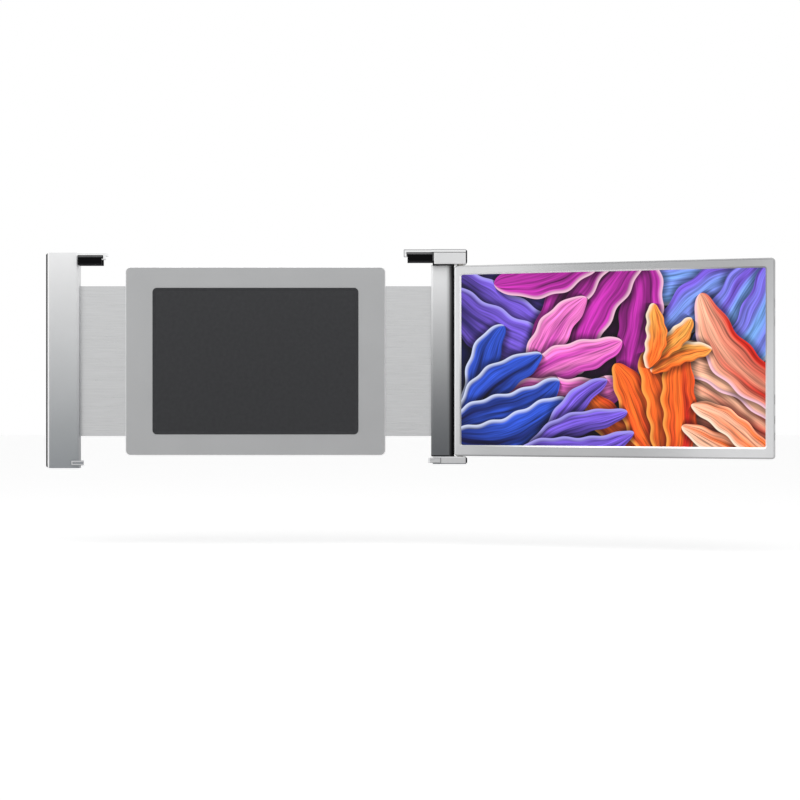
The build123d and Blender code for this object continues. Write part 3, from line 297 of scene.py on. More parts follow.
def maths(tree, operation, first, second=0.0, clamp=False):
    return result(tree, "ShaderNodeMath", operation=operation, use_clamp=clamp,
                  inputs={0: first, 1: second})


def sine(value):
    return maths(value.tree, "SINE", value)


def cosine(value):
    return maths(value.tree, "COSINE", value)


def larger(first, second):
    return maths(first.tree, "MAXIMUM", first, second)


def vectors(tree, operation, first, second):
    return result(tree, "ShaderNodeVectorMath", operation=operation, inputs={0: first, 1: second})


def dot(tree, first, second):
    return result(tree, "ShaderNodeVectorMath", "Value", operation="DOT_PRODUCT",
                  inputs={0: first, 1: second})


def scaled(tree, tone, factor):
    return result(tree, "ShaderNodeVectorMath", operation="SCALE", inputs={0: tone, "Scale": factor})


def axis_of(tree, vector, axis):
    return result(tree, "ShaderNodeSeparateXYZ", axis, inputs={0: vector})


def flat_point(tree, across, rise):
    return result(tree, "ShaderNodeCombineXYZ", inputs={0: across, 1: rise})


def noise(tree, point, scale, detail, dimensions="3D", **inputs):
    return result(tree, "ShaderNodeTexNoise", noise_dimensions=dimensions, inputs={
        "Vector": point, "Scale": scale, "Detail": detail, **inputs})


def mix_colours(tree, factor, first, second):
    return result(tree, "ShaderNodeMix", 2, data_type="RGBA", inputs={0: factor, 6: first, 7: second})


def steps(tree, factor, low, high):
    """A smooth step from 0 at low to 1 at high."""
    return result(tree, "ShaderNodeMapRange", interpolation_type="SMOOTHSTEP",
                  inputs={0: factor, 1: low, 2: high})


def rgba(value):
    return (*value, 1.0)


def paint(tree, point, tone):
    """A tone as a shader input: it is a colour, or a function that makes a value."""
    return tone(tree, point) if callable(tone) else rgba(tone)


def new_group(name, inputs, outputs):
    """A shader node group with named sockets. Returns it, its inputs' values and its output sockets."""
    tree = bpy.data.node_groups.new(name, "ShaderNodeTree")
    for label, kind, default in inputs:
        socket = tree.interface.new_socket(label, in_out="INPUT", socket_type=kind)
        if default is not None:
            socket.default_value = default
    for label, kind in outputs:
        tree.interface.new_socket(label, in_out="OUTPUT", socket_type=kind)
    start, end = tree.nodes.new("NodeGroupInput"), tree.nodes.new("NodeGroupOutput")
    return tree, {label: Value(tree, start.outputs[label]) for label, *_ in inputs}, end.inputs


def place_group(tree, name, **values):
    return add_node(tree, "ShaderNodeGroup", node_tree=bpy.data.node_groups[name],
                    inputs={key.replace("_", " "): value for key, value in values.items()})


FLOAT = "NodeSocketFloat"
COLOUR = "NodeSocketColor"
VECTOR = "NodeSocketVector"


# ---------------------------------------------------------------- shared effects
# Noise scales are counts per metre. Cosines say how squarely a face looks in a direction.
CLOUD_SCALE, CLOUD_DEPTH, CLOUD_ROUGH = 18.0, 0.10, 1.2
FLUFF_SCALE, FLUFF_DEPTH, THREAD_DEPTH = 240.0, 0.5, 0.5
SCRATCH_SCALE, SCRATCH_ROUGH = (40.0, 2600.0, 2600.0), 0.5
EDGE_START, EDGE_FULL = 0.01, 0.25  # how far the rounded normal leaves the plain one
CUT_START, CUT_FULL, FACE_START, FACE_FULL = 0.10, 0.25, 0.97, 0.995  # cosines of a cut edge, of a face
FRONT_START, FRONT_FULL = 0.25, 0.45  # cosines of all that looks to the front


def blast_group():
    """The fine even grain of blasted metal, with faint cloudy patches."""
    tree, given, out = new_group("Blasted grain", (
        ("Vector", VECTOR, None), ("Colour", COLOUR, (0.6, 0.6, 0.6, 1)), ("Grain", FLOAT, 0.00035),
        ("Depth", FLOAT, 0.5), ("Rough", FLOAT, 0.4)),
        (("Colour", COLOUR), ("Roughness", FLOAT), ("Height", FLOAT)))
    fine = noise(tree, given["Vector"], 1.0 / given["Grain"], 2.0)
    cloud = noise(tree, given["Vector"], CLOUD_SCALE, 3.0)
    speck = (fine - 0.5) * given["Depth"]
    patch = (cloud - 0.5) * CLOUD_DEPTH
    rough = maths(tree, "ADD", given["Rough"], patch * CLOUD_ROUGH, clamp=True)
    feed(tree, scaled(tree, given["Colour"], 1.0 + (speck + patch)), out["Colour"])
    feed(tree, rough, out["Roughness"])
    feed(tree, fine, out["Height"])


def weave_group():
    """Crossed threads in the plane of X and Z, for the liner."""
    tree, given, out = new_group("Weave", (
        ("Vector", VECTOR, None), ("Colour", COLOUR, (0.03, 0.03, 0.03, 1)), ("Thread", FLOAT, 0.0006)),
        (("Colour", COLOUR), ("Height", FLOAT)))
    turn = 2 * math.pi / given["Thread"]
    across = sine(axis_of(tree, given["Vector"], "X") * turn)
    along = sine(axis_of(tree, given["Vector"], "Z") * turn)
    height = across * along * 0.5 + 0.5
    fluff = noise(tree, given["Vector"], FLUFF_SCALE, 4.0) * FLUFF_DEPTH + (1 - FLUFF_DEPTH)
    feed(tree, scaled(tree, given["Colour"], height * THREAD_DEPTH + fluff), out["Colour"])
    feed(tree, height, out["Height"])


# How a feather is drawn: lengths in picture heights, the rest as shares
WAVES, RUFFLES = 2.4, 6.1  # turns of its middle line in each half length, of its outline in each turn
RUFFLE_DEPTH = 0.07
BLUR, SHADOW = 0.003, 0.05  # soft edge, and reach of the shadow that it throws
RIM_FROM, RIM_TO, RIM_SHARE = 0.002, 0.030, 0.9  # where the bright rim is full and where it ends
THINNEST = 0.0005  # least half width, at its tips
LANES, FOLD_WIDTH, FOLD_DEPTH = 6.0, 0.3, 1.6  # strands across it, and the wider folds among them
SEED_STRIDE = 7.3  # sets the strands of one feather apart from another's
SHADE, SHADE_ACROSS, SHADE_ALONG = 0.40, -0.34, -0.42  # deep colour at its middle, and its slopes
STRAND_LOW, STRAND_HIGH, STRAND_ROUGH = -0.25, 2.5, 0.65  # light of the strands
SHADOW_TONE = 0.30  # what is left of the light in the shadow
TINY = 1e-7  # too little to move a point, and enough to tie one feather to the next


def feather_group():
    """Lays a long silken feather over a picture: strands along it, a bright upper rim, a soft shadow."""
    tree, given, out = new_group("Feather", (
        ("Under", COLOUR, (0, 0, 0, 1)), ("Point", VECTOR, None), ("Angle", FLOAT, 0.0),
        ("Middle", VECTOR, None), ("Length", FLOAT, 0.5), ("Width", FLOAT, 0.1),
        ("Bend", FLOAT, 0.05), ("Seed", FLOAT, 0.0), ("Rim", COLOUR, (1, 1, 1, 1)),
        ("Body", COLOUR, (0.5, 0.5, 0.5, 1)), ("Deep", COLOUR, (0, 0, 0, 1))),
        (("Colour", COLOUR), ("Point", VECTOR)))
    cos, sin = cosine(given["Angle"]), sine(given["Angle"])
    place = vectors(tree, "SUBTRACT", given["Point"], given["Middle"])
    right, up = axis_of(tree, place, "X"), axis_of(tree, place, "Y")
    run = (right * cos + up * sin) / given["Length"]
    turn = run * WAVES + given["Seed"]
    off = (up * cos - right * sin) - given["Bend"] * sine(turn)
    ruffle = sine(turn * RUFFLES) * RUFFLE_DEPTH
    taper = maths(tree, "SQRT", maths(tree, "SUBTRACT", 1.0, run * run, clamp=True))
    half = given["Width"] * taper * (1.0 + ruffle)
    side = off / larger(half, THINNEST)
    room = half - abs(off)
    lane = flat_point(tree, run + given["Seed"] * SEED_STRIDE, side * LANES)
    strands = noise(tree, lane, 1.0, 2.0, "2D", Roughness=STRAND_ROUGH)
    folds = noise(tree, scaled(tree, lane, FOLD_WIDTH), 1.0, 0.0, "2D")
    lean = side * SHADE_ACROSS + run * SHADE_ALONG
    shaded = maths(tree, "ADD", SHADE, lean + (folds - 0.5) * FOLD_DEPTH, clamp=True)
    body = mix_colours(tree, shaded, given["Body"], given["Deep"])
    lit = scaled(tree, body, STRAND_LOW + strands * STRAND_HIGH)
    rim = (1.0 - steps(tree, half - off, RIM_FROM, RIM_TO)) * RIM_SHARE
    silk = mix_colours(tree, rim, lit, given["Rim"])
    dark = SHADOW_TONE + (1 - SHADOW_TONE) * steps(tree, room, 0.0, -SHADOW)
    beside = abs(run) < 1.0
    dimmed = scaled(tree, given["Under"], dark ** beside)
    shown = mix_colours(tree, steps(tree, room, 0.0, BLUR), dimmed, silk)
    feed(tree, shown, out["Colour"])
    # The point goes on through each feather, so that the layers are worked out one after another.
    passed = result(tree, "ShaderNodeVectorMath", operation="MULTIPLY_ADD",
                    inputs={0: shown, 1: (TINY, TINY, TINY), 2: given["Point"]})
    feed(tree, passed, out["Point"])


def edge_group():
    """1 along the edges of a piece, 0 on its faces."""
    tree, given, out = new_group("Worn edge", (("Width", FLOAT, 0.0004),), (("Mask", FLOAT),))
    soft = result(tree, "ShaderNodeBevel", samples=4, inputs={"Radius": given["Width"]})
    plain = result(tree, "ShaderNodeNewGeometry", "Normal")
    feed(tree, steps(tree, 1.0 - dot(tree, soft, plain), EDGE_START, EDGE_FULL), out["Mask"])


def cut_group():
    """Mask is 1 on the slanted edges round a flat front face, and Facing on all that looks that way."""
    tree, given, out = new_group("Cut edge", (("Front", VECTOR, FRONT),),
                                 (("Mask", FLOAT), ("Facing", FLOAT)))
    normal = result(tree, "ShaderNodeNewGeometry", "Normal")
    inner = result(tree, "ShaderNodeVectorTransform", vector_type="NORMAL", convert_from="WORLD",
                   convert_to="OBJECT", inputs={0: normal})
    facing = dot(tree, inner, given["Front"])
    mask = steps(tree, facing, CUT_START, CUT_FULL) * steps(tree, facing, FACE_FULL, FACE_START)
    feed(tree, mask, out["Mask"])
    feed(tree, steps(tree, facing, FRONT_START, FRONT_FULL), out["Facing"])


def brushed_group():
    """Long fine scratches along X."""
    tree, given, out = new_group("Brushed", (
        ("Vector", VECTOR, None), ("Colour", COLOUR, (0.6, 0.6, 0.6, 1)), ("Strength", FLOAT, 0.3),
        ("Rough", FLOAT, 0.3)),
        (("Colour", COLOUR), ("Roughness", FLOAT), ("Height", FLOAT)))
    lines = noise(tree, vectors(tree, "MULTIPLY", given["Vector"], SCRATCH_SCALE), 1.0, 3.0)
    swing = (lines - 0.5) * given["Strength"]
    rough = maths(tree, "ADD", given["Rough"], swing * SCRATCH_ROUGH, clamp=True)
    feed(tree, scaled(tree, given["Colour"], 1.0 + swing), out["Colour"])
    feed(tree, rough, out["Roughness"])
    feed(tree, lines, out["Height"])


def build_groups():
    blast_group()
    weave_group()
    feather_group()
    edge_group()
    cut_group()
    brushed_group()


# ---------------------------------------------------------------- materials
BLAST_BUMP, SCRATCH_BUMP, MOULD_BUMP, WEAVE_BUMP = 0.02 * MM, 0.01 * MM, 0.03 * MM, 0.08 * MM
DARK, FLOOR, WHITE = (0.004, 0.004, 0.005), (0.85, 0.85, 0.85), (1.0, 1.0, 1.0)


def start_material(name, metallic, **constants):
    """A new material; returns it with its tree, its Principled shader and the object's point."""
    material = bpy.data.materials.new(name)
    material.use_nodes = True
    tree = material.node_tree
    shader = tree.nodes["Principled BSDF"]
    shader.inputs["Metallic"].default_value = metallic
    for socket, value in constants.items():
        shader.inputs[socket.replace("_", " ")].default_value = value
    point = add_node(tree, "ShaderNodeTexCoord").outputs["Object"]
    return material, tree, shader, point


def dress(tree, shader, colour, texture, bump):
    """Feeds a shader with a colour, and with the roughness and the height of a texture group."""
    feed(tree, colour, shader.inputs["Base Color"])
    if "Roughness" in texture.outputs:
        feed(tree, texture.outputs["Roughness"], shader.inputs["Roughness"])
    height = texture.outputs["Height"]
    normal = result(tree, "ShaderNodeBump", inputs={"Height": height, "Distance": bump})
    feed(tree, normal, shader.inputs["Normal"])


def edge_mask(tree):
    width = bpy.context.scene.extender_finish.edge
    return place_group(tree, "Worn edge", Width=width).outputs["Mask"]


def blasted_metal(name, tone, rough, metallic=0.85, depth=0.10, edge_tone=1.25, front=None, cut=None,
                  last=None):
    """Blasted, anodised metal, a little brighter along its edges. tone is a colour or makes a value.

    front is the way that its flat face looks: the slanted edges round that face take the cut tone, a
    painted highlight.
    last lays something over the finished colour, such as a seam or a painted band of light or shade.
    """
    finish = bpy.context.scene.extender_finish
    material, tree, shader, point = start_material(name, metallic)
    grain = place_group(tree, "Blasted grain", Vector=point, Colour=paint(tree, point, tone),
                        Grain=finish.grain, Depth=depth, Rough=rough)
    plain = grain.outputs["Colour"]
    shown = mix_colours(tree, edge_mask(tree), plain, scaled(tree, plain, edge_tone))
    # The slanted edges round the front face get a painted highlight.
    if front is not None:
        slanted = place_group(tree, "Cut edge", Front=front).outputs["Mask"]
        shown = mix_colours(tree, slanted, shown, paint(tree, point, cut or finish.cut))
    if last is not None:
        shown = last(tree, point, shown)
    dress(tree, shader, shown, grain, BLAST_BUMP)
    return material


def brushed_metal(name, tone, rough, strength=0.3):
    material, tree, shader, point = start_material(name, 1.0)
    lines = place_group(tree, "Brushed", Vector=point, Colour=rgba(tone), Strength=strength, Rough=rough)
    dress(tree, shader, lines.outputs["Colour"], lines, SCRATCH_BUMP)
    return material


def moulded(name, tone, rough, grain=0.6 * MM, depth=0.15, worn=0.02, last=None, **constants):
    """Moulded plastic or rubber with edges paler by worn. tone and last are as for metal."""
    material, tree, shader, point = start_material(name, 0.0, **constants)
    texture = place_group(tree, "Blasted grain", Vector=point, Colour=paint(tree, point, tone),
                          Grain=grain, Depth=depth, Rough=rough)
    plain = texture.outputs["Colour"]
    shown = mix_colours(tree, edge_mask(tree), plain, vectors(tree, "ADD", plain, (worn, worn, worn)))
    if last is not None:
        shown = last(tree, point, shown)
    dress(tree, shader, shown, texture, MOULD_BUMP)
    return material


def woven(name, tone, thread):
    """Close-woven cloth with a soft sheen."""
    material, tree, shader, point = start_material(name, 0.0, Roughness=0.9, Sheen_Weight=0.4)
    cloth = place_group(tree, "Weave", Vector=point, Colour=rgba(tone), Thread=thread)
    dress(tree, shader, cloth.outputs["Colour"], cloth, WEAVE_BUMP)
    return material


def along_axis(tree, point, axis, start, end):
    """0 at start and 1 at end along one of the object's axes."""
    return result(tree, "ShaderNodeMapRange",
                  inputs={0: axis_of(tree, point, axis), 1: start, 2: end})


def fading(axis, start, end, first, last, curve=1.0):
    """Makes a tone that goes from first to last along an axis. Both are tones themselves."""
    def tone(tree, point):
        share = along_axis(tree, point, axis, start, end) ** curve
        return mix_colours(tree, share, paint(tree, point, first), paint(tree, point, last))
    return tone


def within(axis, end, reach, tone):
    """A band for over(), from a piece's end to reach inside it: reach is negative from an upper end."""
    soft = math.copysign(bpy.context.scene.extender_seams.blur / 2, reach)
    return axis, end + reach + soft, end + reach - soft, tone


def beyond(axis, end, reach, tone):
    """The rest of the piece, past such a band."""
    soft = math.copysign(bpy.context.scene.extender_seams.blur / 2, reach)
    return axis, end + reach - soft, end + reach + soft, tone


def parted(band, first):
    """Makes a tone that is first up to where a band starts, and the band's own past it."""
    axis, start, full, last = band
    return fading(axis, start, full, first, last)


def over(*bands, facing=False):
    """Lays bands over a finish. Each has an axis, where it starts, where it is full, and its colour.

    With facing, they lie on the front only, and not on what looks up or back.
    """
    def last(tree, point, shown):
        finished = shown
        for axis, start, full, tone in bands:
            shown = mix_colours(tree, along_axis(tree, point, axis, start, full), shown, rgba(tone))
        if facing:
            front = place_group(tree, "Cut edge", Front=FRONT).outputs["Facing"]
            shown = mix_colours(tree, front, finished, shown)
        return shown
    return last


# The painted sheen and shade on the monitor's shells, as shares of its width and height
SHADE_LEAN = 0.35  # how far the darker middle leans towards one side from foot to top
SHADE_HALF, LIGHT_HALF = 0.20, 0.55  # half widths of the darkest middle and up to the brightest ends
# The bevel's bright run and bright corners are painted highlight, its dim parts painted shade.
LEVEL_SIDE, LEVEL_SHIFT = 0.43, 0.12  # the bevel above and below the picture, and its longer bright run
CORNER_BLEND = 0.08  # from bright to dim bevel
RIM_ACROSS, RIM_RISE = 0.488, 0.480  # where the outer rim begins


def monitor_place(tree, point):
    """The place on the monitor, from -0.5 to 0.5 across and upwards."""
    low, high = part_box("monitor_bezel")
    return (along_axis(tree, point, "X", low.x, high.x) - 0.5,
            along_axis(tree, point, "Z", low.z, high.z) - 0.5)


def monitor_rims(tree, point):
    """Masks of the painted shade on the rim on three sides and of the painted highlight on the rim at
    the hinge.
    """
    seams = bpy.context.scene.extender_seams
    low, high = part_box("monitor_bezel")

    def band(axis, end, reach):
        return along_axis(tree, point, *within(axis, end, reach, None)[:3])

    side = band("X", high.x, -seams.rim_side) - band("X", high.x, -seams.rim_edge)
    ends = larger(band("Z", high.z, -seams.rim), band("Z", low.z, seams.rim))
    return larger(side, ends), band("X", low.x, seams.rim_hinge)


def monitor_tone(tree, point):
    """Silver with a painted sheen, brightest at two opposite corners of the monitor and darker between
    them, with painted shade on its rim, painted light towards its foot and a painted highlight on its
    rim at the hinge.
    """
    finish = bpy.context.scene.extender_finish
    across, rise = monitor_place(tree, point)
    away = abs(across - rise * SHADE_LEAN)
    face = mix_colours(tree, steps(tree, away, SHADE_HALF, LIGHT_HALF), rgba(finish.silver),
                       rgba(finish.silver_painted_sheen))
    rim, hinge_rim = monitor_rims(tree, point)
    tone = finish.level - rise * finish.painted_foot_light
    return scaled(tree, face, tone - rim * finish.rim_painted_shade + hinge_rim * finish.hinge_rim_painted_highlight)


def picture_bevel_tone(tree, point):
    """The bevel round the picture: a painted highlight at two opposite corners and further along its
    flat sides, painted shade elsewhere.
    """
    finish = bpy.context.scene.extender_finish
    across, rise = monitor_place(tree, point)
    level = abs(rise) > LEVEL_SIDE
    corner = across * rise - level * LEVEL_SHIFT
    bevel = mix_colours(tree, steps(tree, corner, CORNER_BLEND, -CORNER_BLEND), rgba(finish.cut_dim),
                        rgba(finish.cut))
    rim = larger(abs(across) > RIM_ACROSS, abs(rise) > RIM_RISE)
    return mix_colours(tree, rim, bevel, monitor_tone(tree, point))


def give(material, names):
    """Sets one material on whole CAD pieces."""
    for name in names:
        mesh = nodes[name].data
        if not mesh.materials:
            mesh.materials.append(material)
        for index in range(len(mesh.materials)):
            mesh.materials[index] = material


# ---------------------------------------------------------------- modelling helpers
def start_block(name, low, high):
    """A box between two corners, in edit mode with all of it selected."""
    bpy.ops.object.select_all(action="DESELECT")
    bpy.ops.mesh.primitive_cube_add(size=1, location=(low + high) / 2, scale=high - low)
    return open_piece(name)


def open_piece(name):
    piece = bpy.context.object
    piece.name = name
    bpy.ops.object.transform_apply(location=True, rotation=True, scale=True)
    bpy.ops.object.mode_set(mode="EDIT")
    bpy.ops.mesh.select_all(action="SELECT")
    return piece


def close_piece(piece, body, material, angle=35.0):
    """Leaves edit mode, shades the piece, gives it its material and sets it on its body."""
    if piece.mode == "EDIT":
        bpy.ops.object.mode_set(mode="OBJECT")
    bpy.ops.object.select_all(action="DESELECT")
    piece.select_set(True)
    bpy.context.view_layer.objects.active = piece
    bpy.ops.object.shade_smooth_by_angle(angle=math.radians(angle))
    piece.data.materials.append(material)
    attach(piece, body)


def join_pieces(pieces):
    bpy.ops.object.select_all(action="DESELECT")
    for piece in pieces:
        piece.select_set(True)
    bpy.context.view_layer.objects.active = pieces[0]
    bpy.ops.object.join()
    return pieces[0]


# ---------------------------------------------------------------- operators
class EXTENDER_OT_finish_shells(Operator):
    """Blasted and anodised metal on the monitor, base, bars, arms, hooks and clips"""
    bl_idname = "extender.finish_shells"
    bl_label = "Finish the shells"

    def execute(self, context):
        finish, seams = context.scene.extender_finish, context.scene.extender_seams
        monitor_front = display_axis().cross(Vector((0, 0, 1)))
        give(blasted_metal("Monitor shell", monitor_tone, rough=0.42, front=monitor_front,
                           cut=picture_bevel_tone), (*SHELLS, *BUTTONS))
        give(blasted_metal("Base shell", finish.silver, rough=0.42, front=FRONT), BASE_SHELLS)
        finish_left_bar(finish, seams)
        finish_spine(finish, seams)
        finish_arms(finish, seams)
        finish_caps(finish, seams)
        finish_clips(finish, seams)
        return {"FINISHED"}


def finish_left_bar(finish, seams):
    # Painted light at the bar's top fading to painted shade at its foot, and a painted highlight along
    # its outer edge.
    low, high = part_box("left_bar_shell")
    tone = fading("Z", low.z, high.z, finish.bar_painted_shade_foot, finish.bar_painted_light_top, finish.bar_curve)
    rim = within("X", low.x, seams.bar_rim_painted_highlight, finish.cut)
    give(blasted_metal("Left bar", tone, rough=0.40, last=over(rim)), LEFT_BAR)


def finish_spine(finish, seams):
    # Painted light at the spine's top fading to painted shade at its foot, painted shade beside its
    # strip and a line of painted shade along its foot.
    low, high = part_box("spine_shell")
    tone = fading("Z", low.z, high.z, finish.spine_foot_painted_shade, finish.spine_painted_light_top, finish.spine_curve)
    side = ("X", high.x - seams.spine_side, high.x + seams.spine_side, finish.seam)
    foot = within("Z", low.z, seams.spine_foot_painted_shade, finish.deep_painted_shade)
    give(blasted_metal("Spine", tone, rough=0.40, last=over(side, foot)), SPINE)


def finish_arms(finish, seams):
    # The top arm is painted lighter, with a painted highlight on its slanted edges; the bottom arm is
    # painted darker, with painted shade along its lower edge.
    under_cap = within("Z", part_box("top_arm")[1].z, -seams.arm_top, finish.seam)
    give(blasted_metal("Top arm", finish.top_arm, rough=0.34, front=FRONT, last=over(under_cap)),
         ("top_arm",))
    foot = within("Z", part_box("bottom_arm")[0].z, seams.arm_foot, finish.bar_painted_shade_foot)
    give(blasted_metal("Bottom arm", finish.bottom_arm, rough=0.34, last=over(foot)), ("bottom_arm",))


def polished(name, tone, rough, *bands, facing=False):
    return blasted_metal(name, tone, rough, metallic=1.0, depth=0.04, last=over(*bands, facing=facing))


def finish_caps(finish, seams):
    low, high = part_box("right_hook_cap")
    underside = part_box("right_hook_pad")[1].z
    # Painted shade along the right cap's edges, with its turned-down tip kept bright.
    lines = (within("Z", underside, seams.cap_under, finish.outline),
             within("X", low.x, seams.cap_tip, finish.bright),
             within("Z", high.z, -seams.cap_top, finish.outline),
             within("X", low.x, seams.cap_end, finish.outline))
    give(polished("Left cap", finish.bright, 0.22), ("left_hook_cap",))
    give(polished("Right cap", finish.bright, 0.22, *lines, facing=True), ("right_hook_cap",))


def finish_clips(finish, seams):
    # Painted shade on the floor of the left clip's channel; a painted highlight on the right clip's tip.
    channel = beyond("Y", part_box("left_clip")[0].y, seams.clip_rim, finish.channel)
    give(polished("Left clip", finish.clip_rim, 0.22, channel), ("left_clip",))
    low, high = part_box("right_clip")
    tip = within("X", low.x, seams.clip_tip_painted_highlight, finish.bright)
    end = within("X", high.x, -seams.clip_end, finish.seam)
    give(polished("Right clip", finish.clip_face, 0.30, tip, end), ("right_clip",))


class EXTENDER_OT_finish_dark_parts(Operator):
    """Moulded dark trim and rubber"""
    bl_idname = "extender.finish_dark_parts"
    bl_label = "Finish the dark parts"

    def execute(self, context):
        finish, seams = context.scene.extender_finish, context.scene.extender_seams
        give(moulded("Dark trim and painted shade", finish.trim, rough=0.45, Specular_IOR_Level=0.2), DARK_TRIM_AND_PAINTED_SHADE)
        finish_edge_trim(finish, seams)
        finish_side_strip(finish)
        give(moulded("Foot rubber", finish.rubber, rough=0.50, Specular_IOR_Level=0.15),
             ("kickstand_foot",))
        finish_pads(finish, seams, context.scene.extender_pieces.lip_step)
        return {"FINISHED"}


def finish_edge_trim(finish, seams):
    # The bar's edge trim stands dark where the bar's side lies in shade: painted shade on its outer
    # part, painted light on its inner side.
    inner = beyond("X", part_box("left_edge_trim")[0].x, seams.trim, finish.trim_painted_light_inner)
    give(moulded("Edge trim of painted shade", parted(inner, finish.trim), rough=0.60, Specular_IOR_Level=0.05),
         ("left_edge_trim",))


def finish_side_strip(finish):
    """The strip stands dark where the spine lies in shade beside the monitor: painted light fading to
    painted shade along its height as on the spine, and painted deep shade where it rolls back.
    """
    low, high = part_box("spine_side_strip")
    by_spine = fading("Z", low.z, high.z, finish.strip_painted_shade_foot, finish.strip_painted_light_top, finish.spine_curve)
    tone = fading("X", high.x, low.x, finish.deep_painted_shade, by_spine, finish.strip_curve)
    give(moulded("Strip of painted shade", tone, rough=0.50, worn=0.0, Specular_IOR_Level=0.0),
         ("spine_side_strip",))


def finish_pads(finish, seams, lip_step):
    # The bead's front and the lips' lower edge take painted highlights on the black rubber.
    low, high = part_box("left_hook_pad")
    tone = parted(beyond("Y", low.y, seams.bead_front, finish.rubber), finish.bead)
    bead_top = within("Z", high.z, -seams.bead_top, finish.rubber)
    # The right pad runs on as a dark strip beside and under the top arm, where shade lies: painted shade
    # as rubber.
    for side, lip, lines in (("left", low.z, (bead_top,)), ("right", low.z + lip_step, ())):
        edge = within("Z", lip, seams.lip, finish.lip_edge_painted_highlight)
        give(moulded(f"Pad rubber, {side}", tone, rough=0.60, last=over(edge, *lines),
                     Specular_IOR_Level=0.05), (f"{side}_hook_pad",))


# The finishes of what lies inside: name, tone, roughness and pieces
BRUSHED_FINISHES = (("Slide plate", (0.62, 0.625, 0.63), 0.30, BRUSHED),
                    ("Spring steel", (0.42, 0.42, 0.44), 0.25, SPRINGS))
METAL_FINISHES = (("Plated screw", (0.40, 0.40, 0.41), 0.30, SCREWS),
                  ("Ground steel", (0.34, 0.345, 0.36), 0.28, STEEL),
                  ("Sintered bush", (0.34, 0.32, 0.29), 0.40, ("hinge_bushes",)),
                  ("Nickel shell", (0.66, 0.65, 0.64), 0.20, PORTS))
MOULDED_FINISHES = (("Nylon", (0.72, 0.70, 0.64), 0.45, NYLON),
                    ("Solder mask", (0.01, 0.09, 0.04), 0.30, BOARDS),
                    ("Ribbon film", (0.50, 0.22, 0.03), 0.25, ("panel_ribbon",)),
                    ("Light guide", (0.80, 0.82, 0.85), 0.10, ("light_guide",)),
                    ("Light strip", (0.85, 0.83, 0.75), 0.40, ("led_strip",)))


class EXTENDER_OT_finish_works(Operator):
    """Steel, nickel, nylon, boards and the rest that lies inside"""
    bl_idname = "extender.finish_works"
    bl_label = "Finish the inner parts"

    def execute(self, context):
        for name, tone, rough, pieces in BRUSHED_FINISHES:
            give(brushed_metal(name, tone, rough), pieces)
        for name, tone, rough, pieces in METAL_FINISHES:
            give(blasted_metal(name, tone, rough, metallic=1.0), pieces)
        for name, tone, rough, pieces in MOULDED_FINISHES:
            give(moulded(name, tone, rough), pieces)
        return {"FINISHED"}


class EXTENDER_OT_lay_liner(Operator):
    """The soft liner that the lid lies against, with a pressed line round its border"""
    bl_idname = "extender.lay_liner"
    bl_label = "Lay the liner"

    def execute(self, context):
        sizes = context.scene.extender_pieces
        low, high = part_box("lid_liner")
        size = high - low
        middle = (low + high) / 2
        bpy.ops.object.select_all(action="DESELECT")
        bpy.ops.mesh.primitive_plane_add(size=1, location=(middle.x, low.y + sizes.liner_edge, middle.z),
                                         rotation=(math.radians(90), 0, 0))
        piece = open_piece("liner_cloth")
        bpy.ops.transform.resize(value=(size.x, 1, size.z))
        bpy.ops.mesh.bevel(offset=sizes.liner_corner, segments=8, affect="VERTICES")
        bpy.ops.mesh.inset(thickness=sizes.liner_edge, depth=sizes.liner_edge)
        bpy.ops.mesh.inset(thickness=sizes.liner_border)
        bpy.ops.mesh.inset(thickness=sizes.liner_press, depth=-sizes.liner_edge)
        bpy.ops.mesh.inset(thickness=sizes.liner_press, depth=sizes.liner_edge)
        bpy.ops.object.mode_set(mode="OBJECT")
        wall = piece.modifiers.new("Thickness", "SOLIDIFY")
        wall.thickness = size.y - sizes.liner_edge
        wall.offset = -1
        bpy.ops.object.modifier_apply(modifier=wall.name)
        close_piece(piece, "base", woven("Woven liner", context.scene.extender_finish.liner,
                                         sizes.liner_thread))
        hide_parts("lid_liner")
        return {"FINISHED"}


def rubber_ribs(name, low, high, count, body, height):
    """Low rounded ribs along X, side by side in Y, on the plane at low.z. They hang where height < 0."""
    sizes = bpy.context.scene.extender_pieces
    pitch = (high.y - low.y) / count
    half = pitch * sizes.rib_share / 2
    ribs = []
    for index in range(count):
        y = low.y + pitch * (index + 0.5)
        sunk = low.z - math.copysign(sizes.rib_sunk, height)
        z = sorted((sunk, low.z + height))
        rib = start_block(f"{name}_{index + 1}", Vector((low.x, y - half, z[0])),
                          Vector((high.x, y + half, z[1])))
        bpy.ops.mesh.bevel(offset=min(half, abs(height)) * sizes.rib_round, segments=3)
        bpy.ops.object.mode_set(mode="OBJECT")
        ribs.append(rib)
    piece = join_pieces(ribs)
    piece.name = name
    close_piece(piece, body, bpy.data.materials["Foot rubber"])


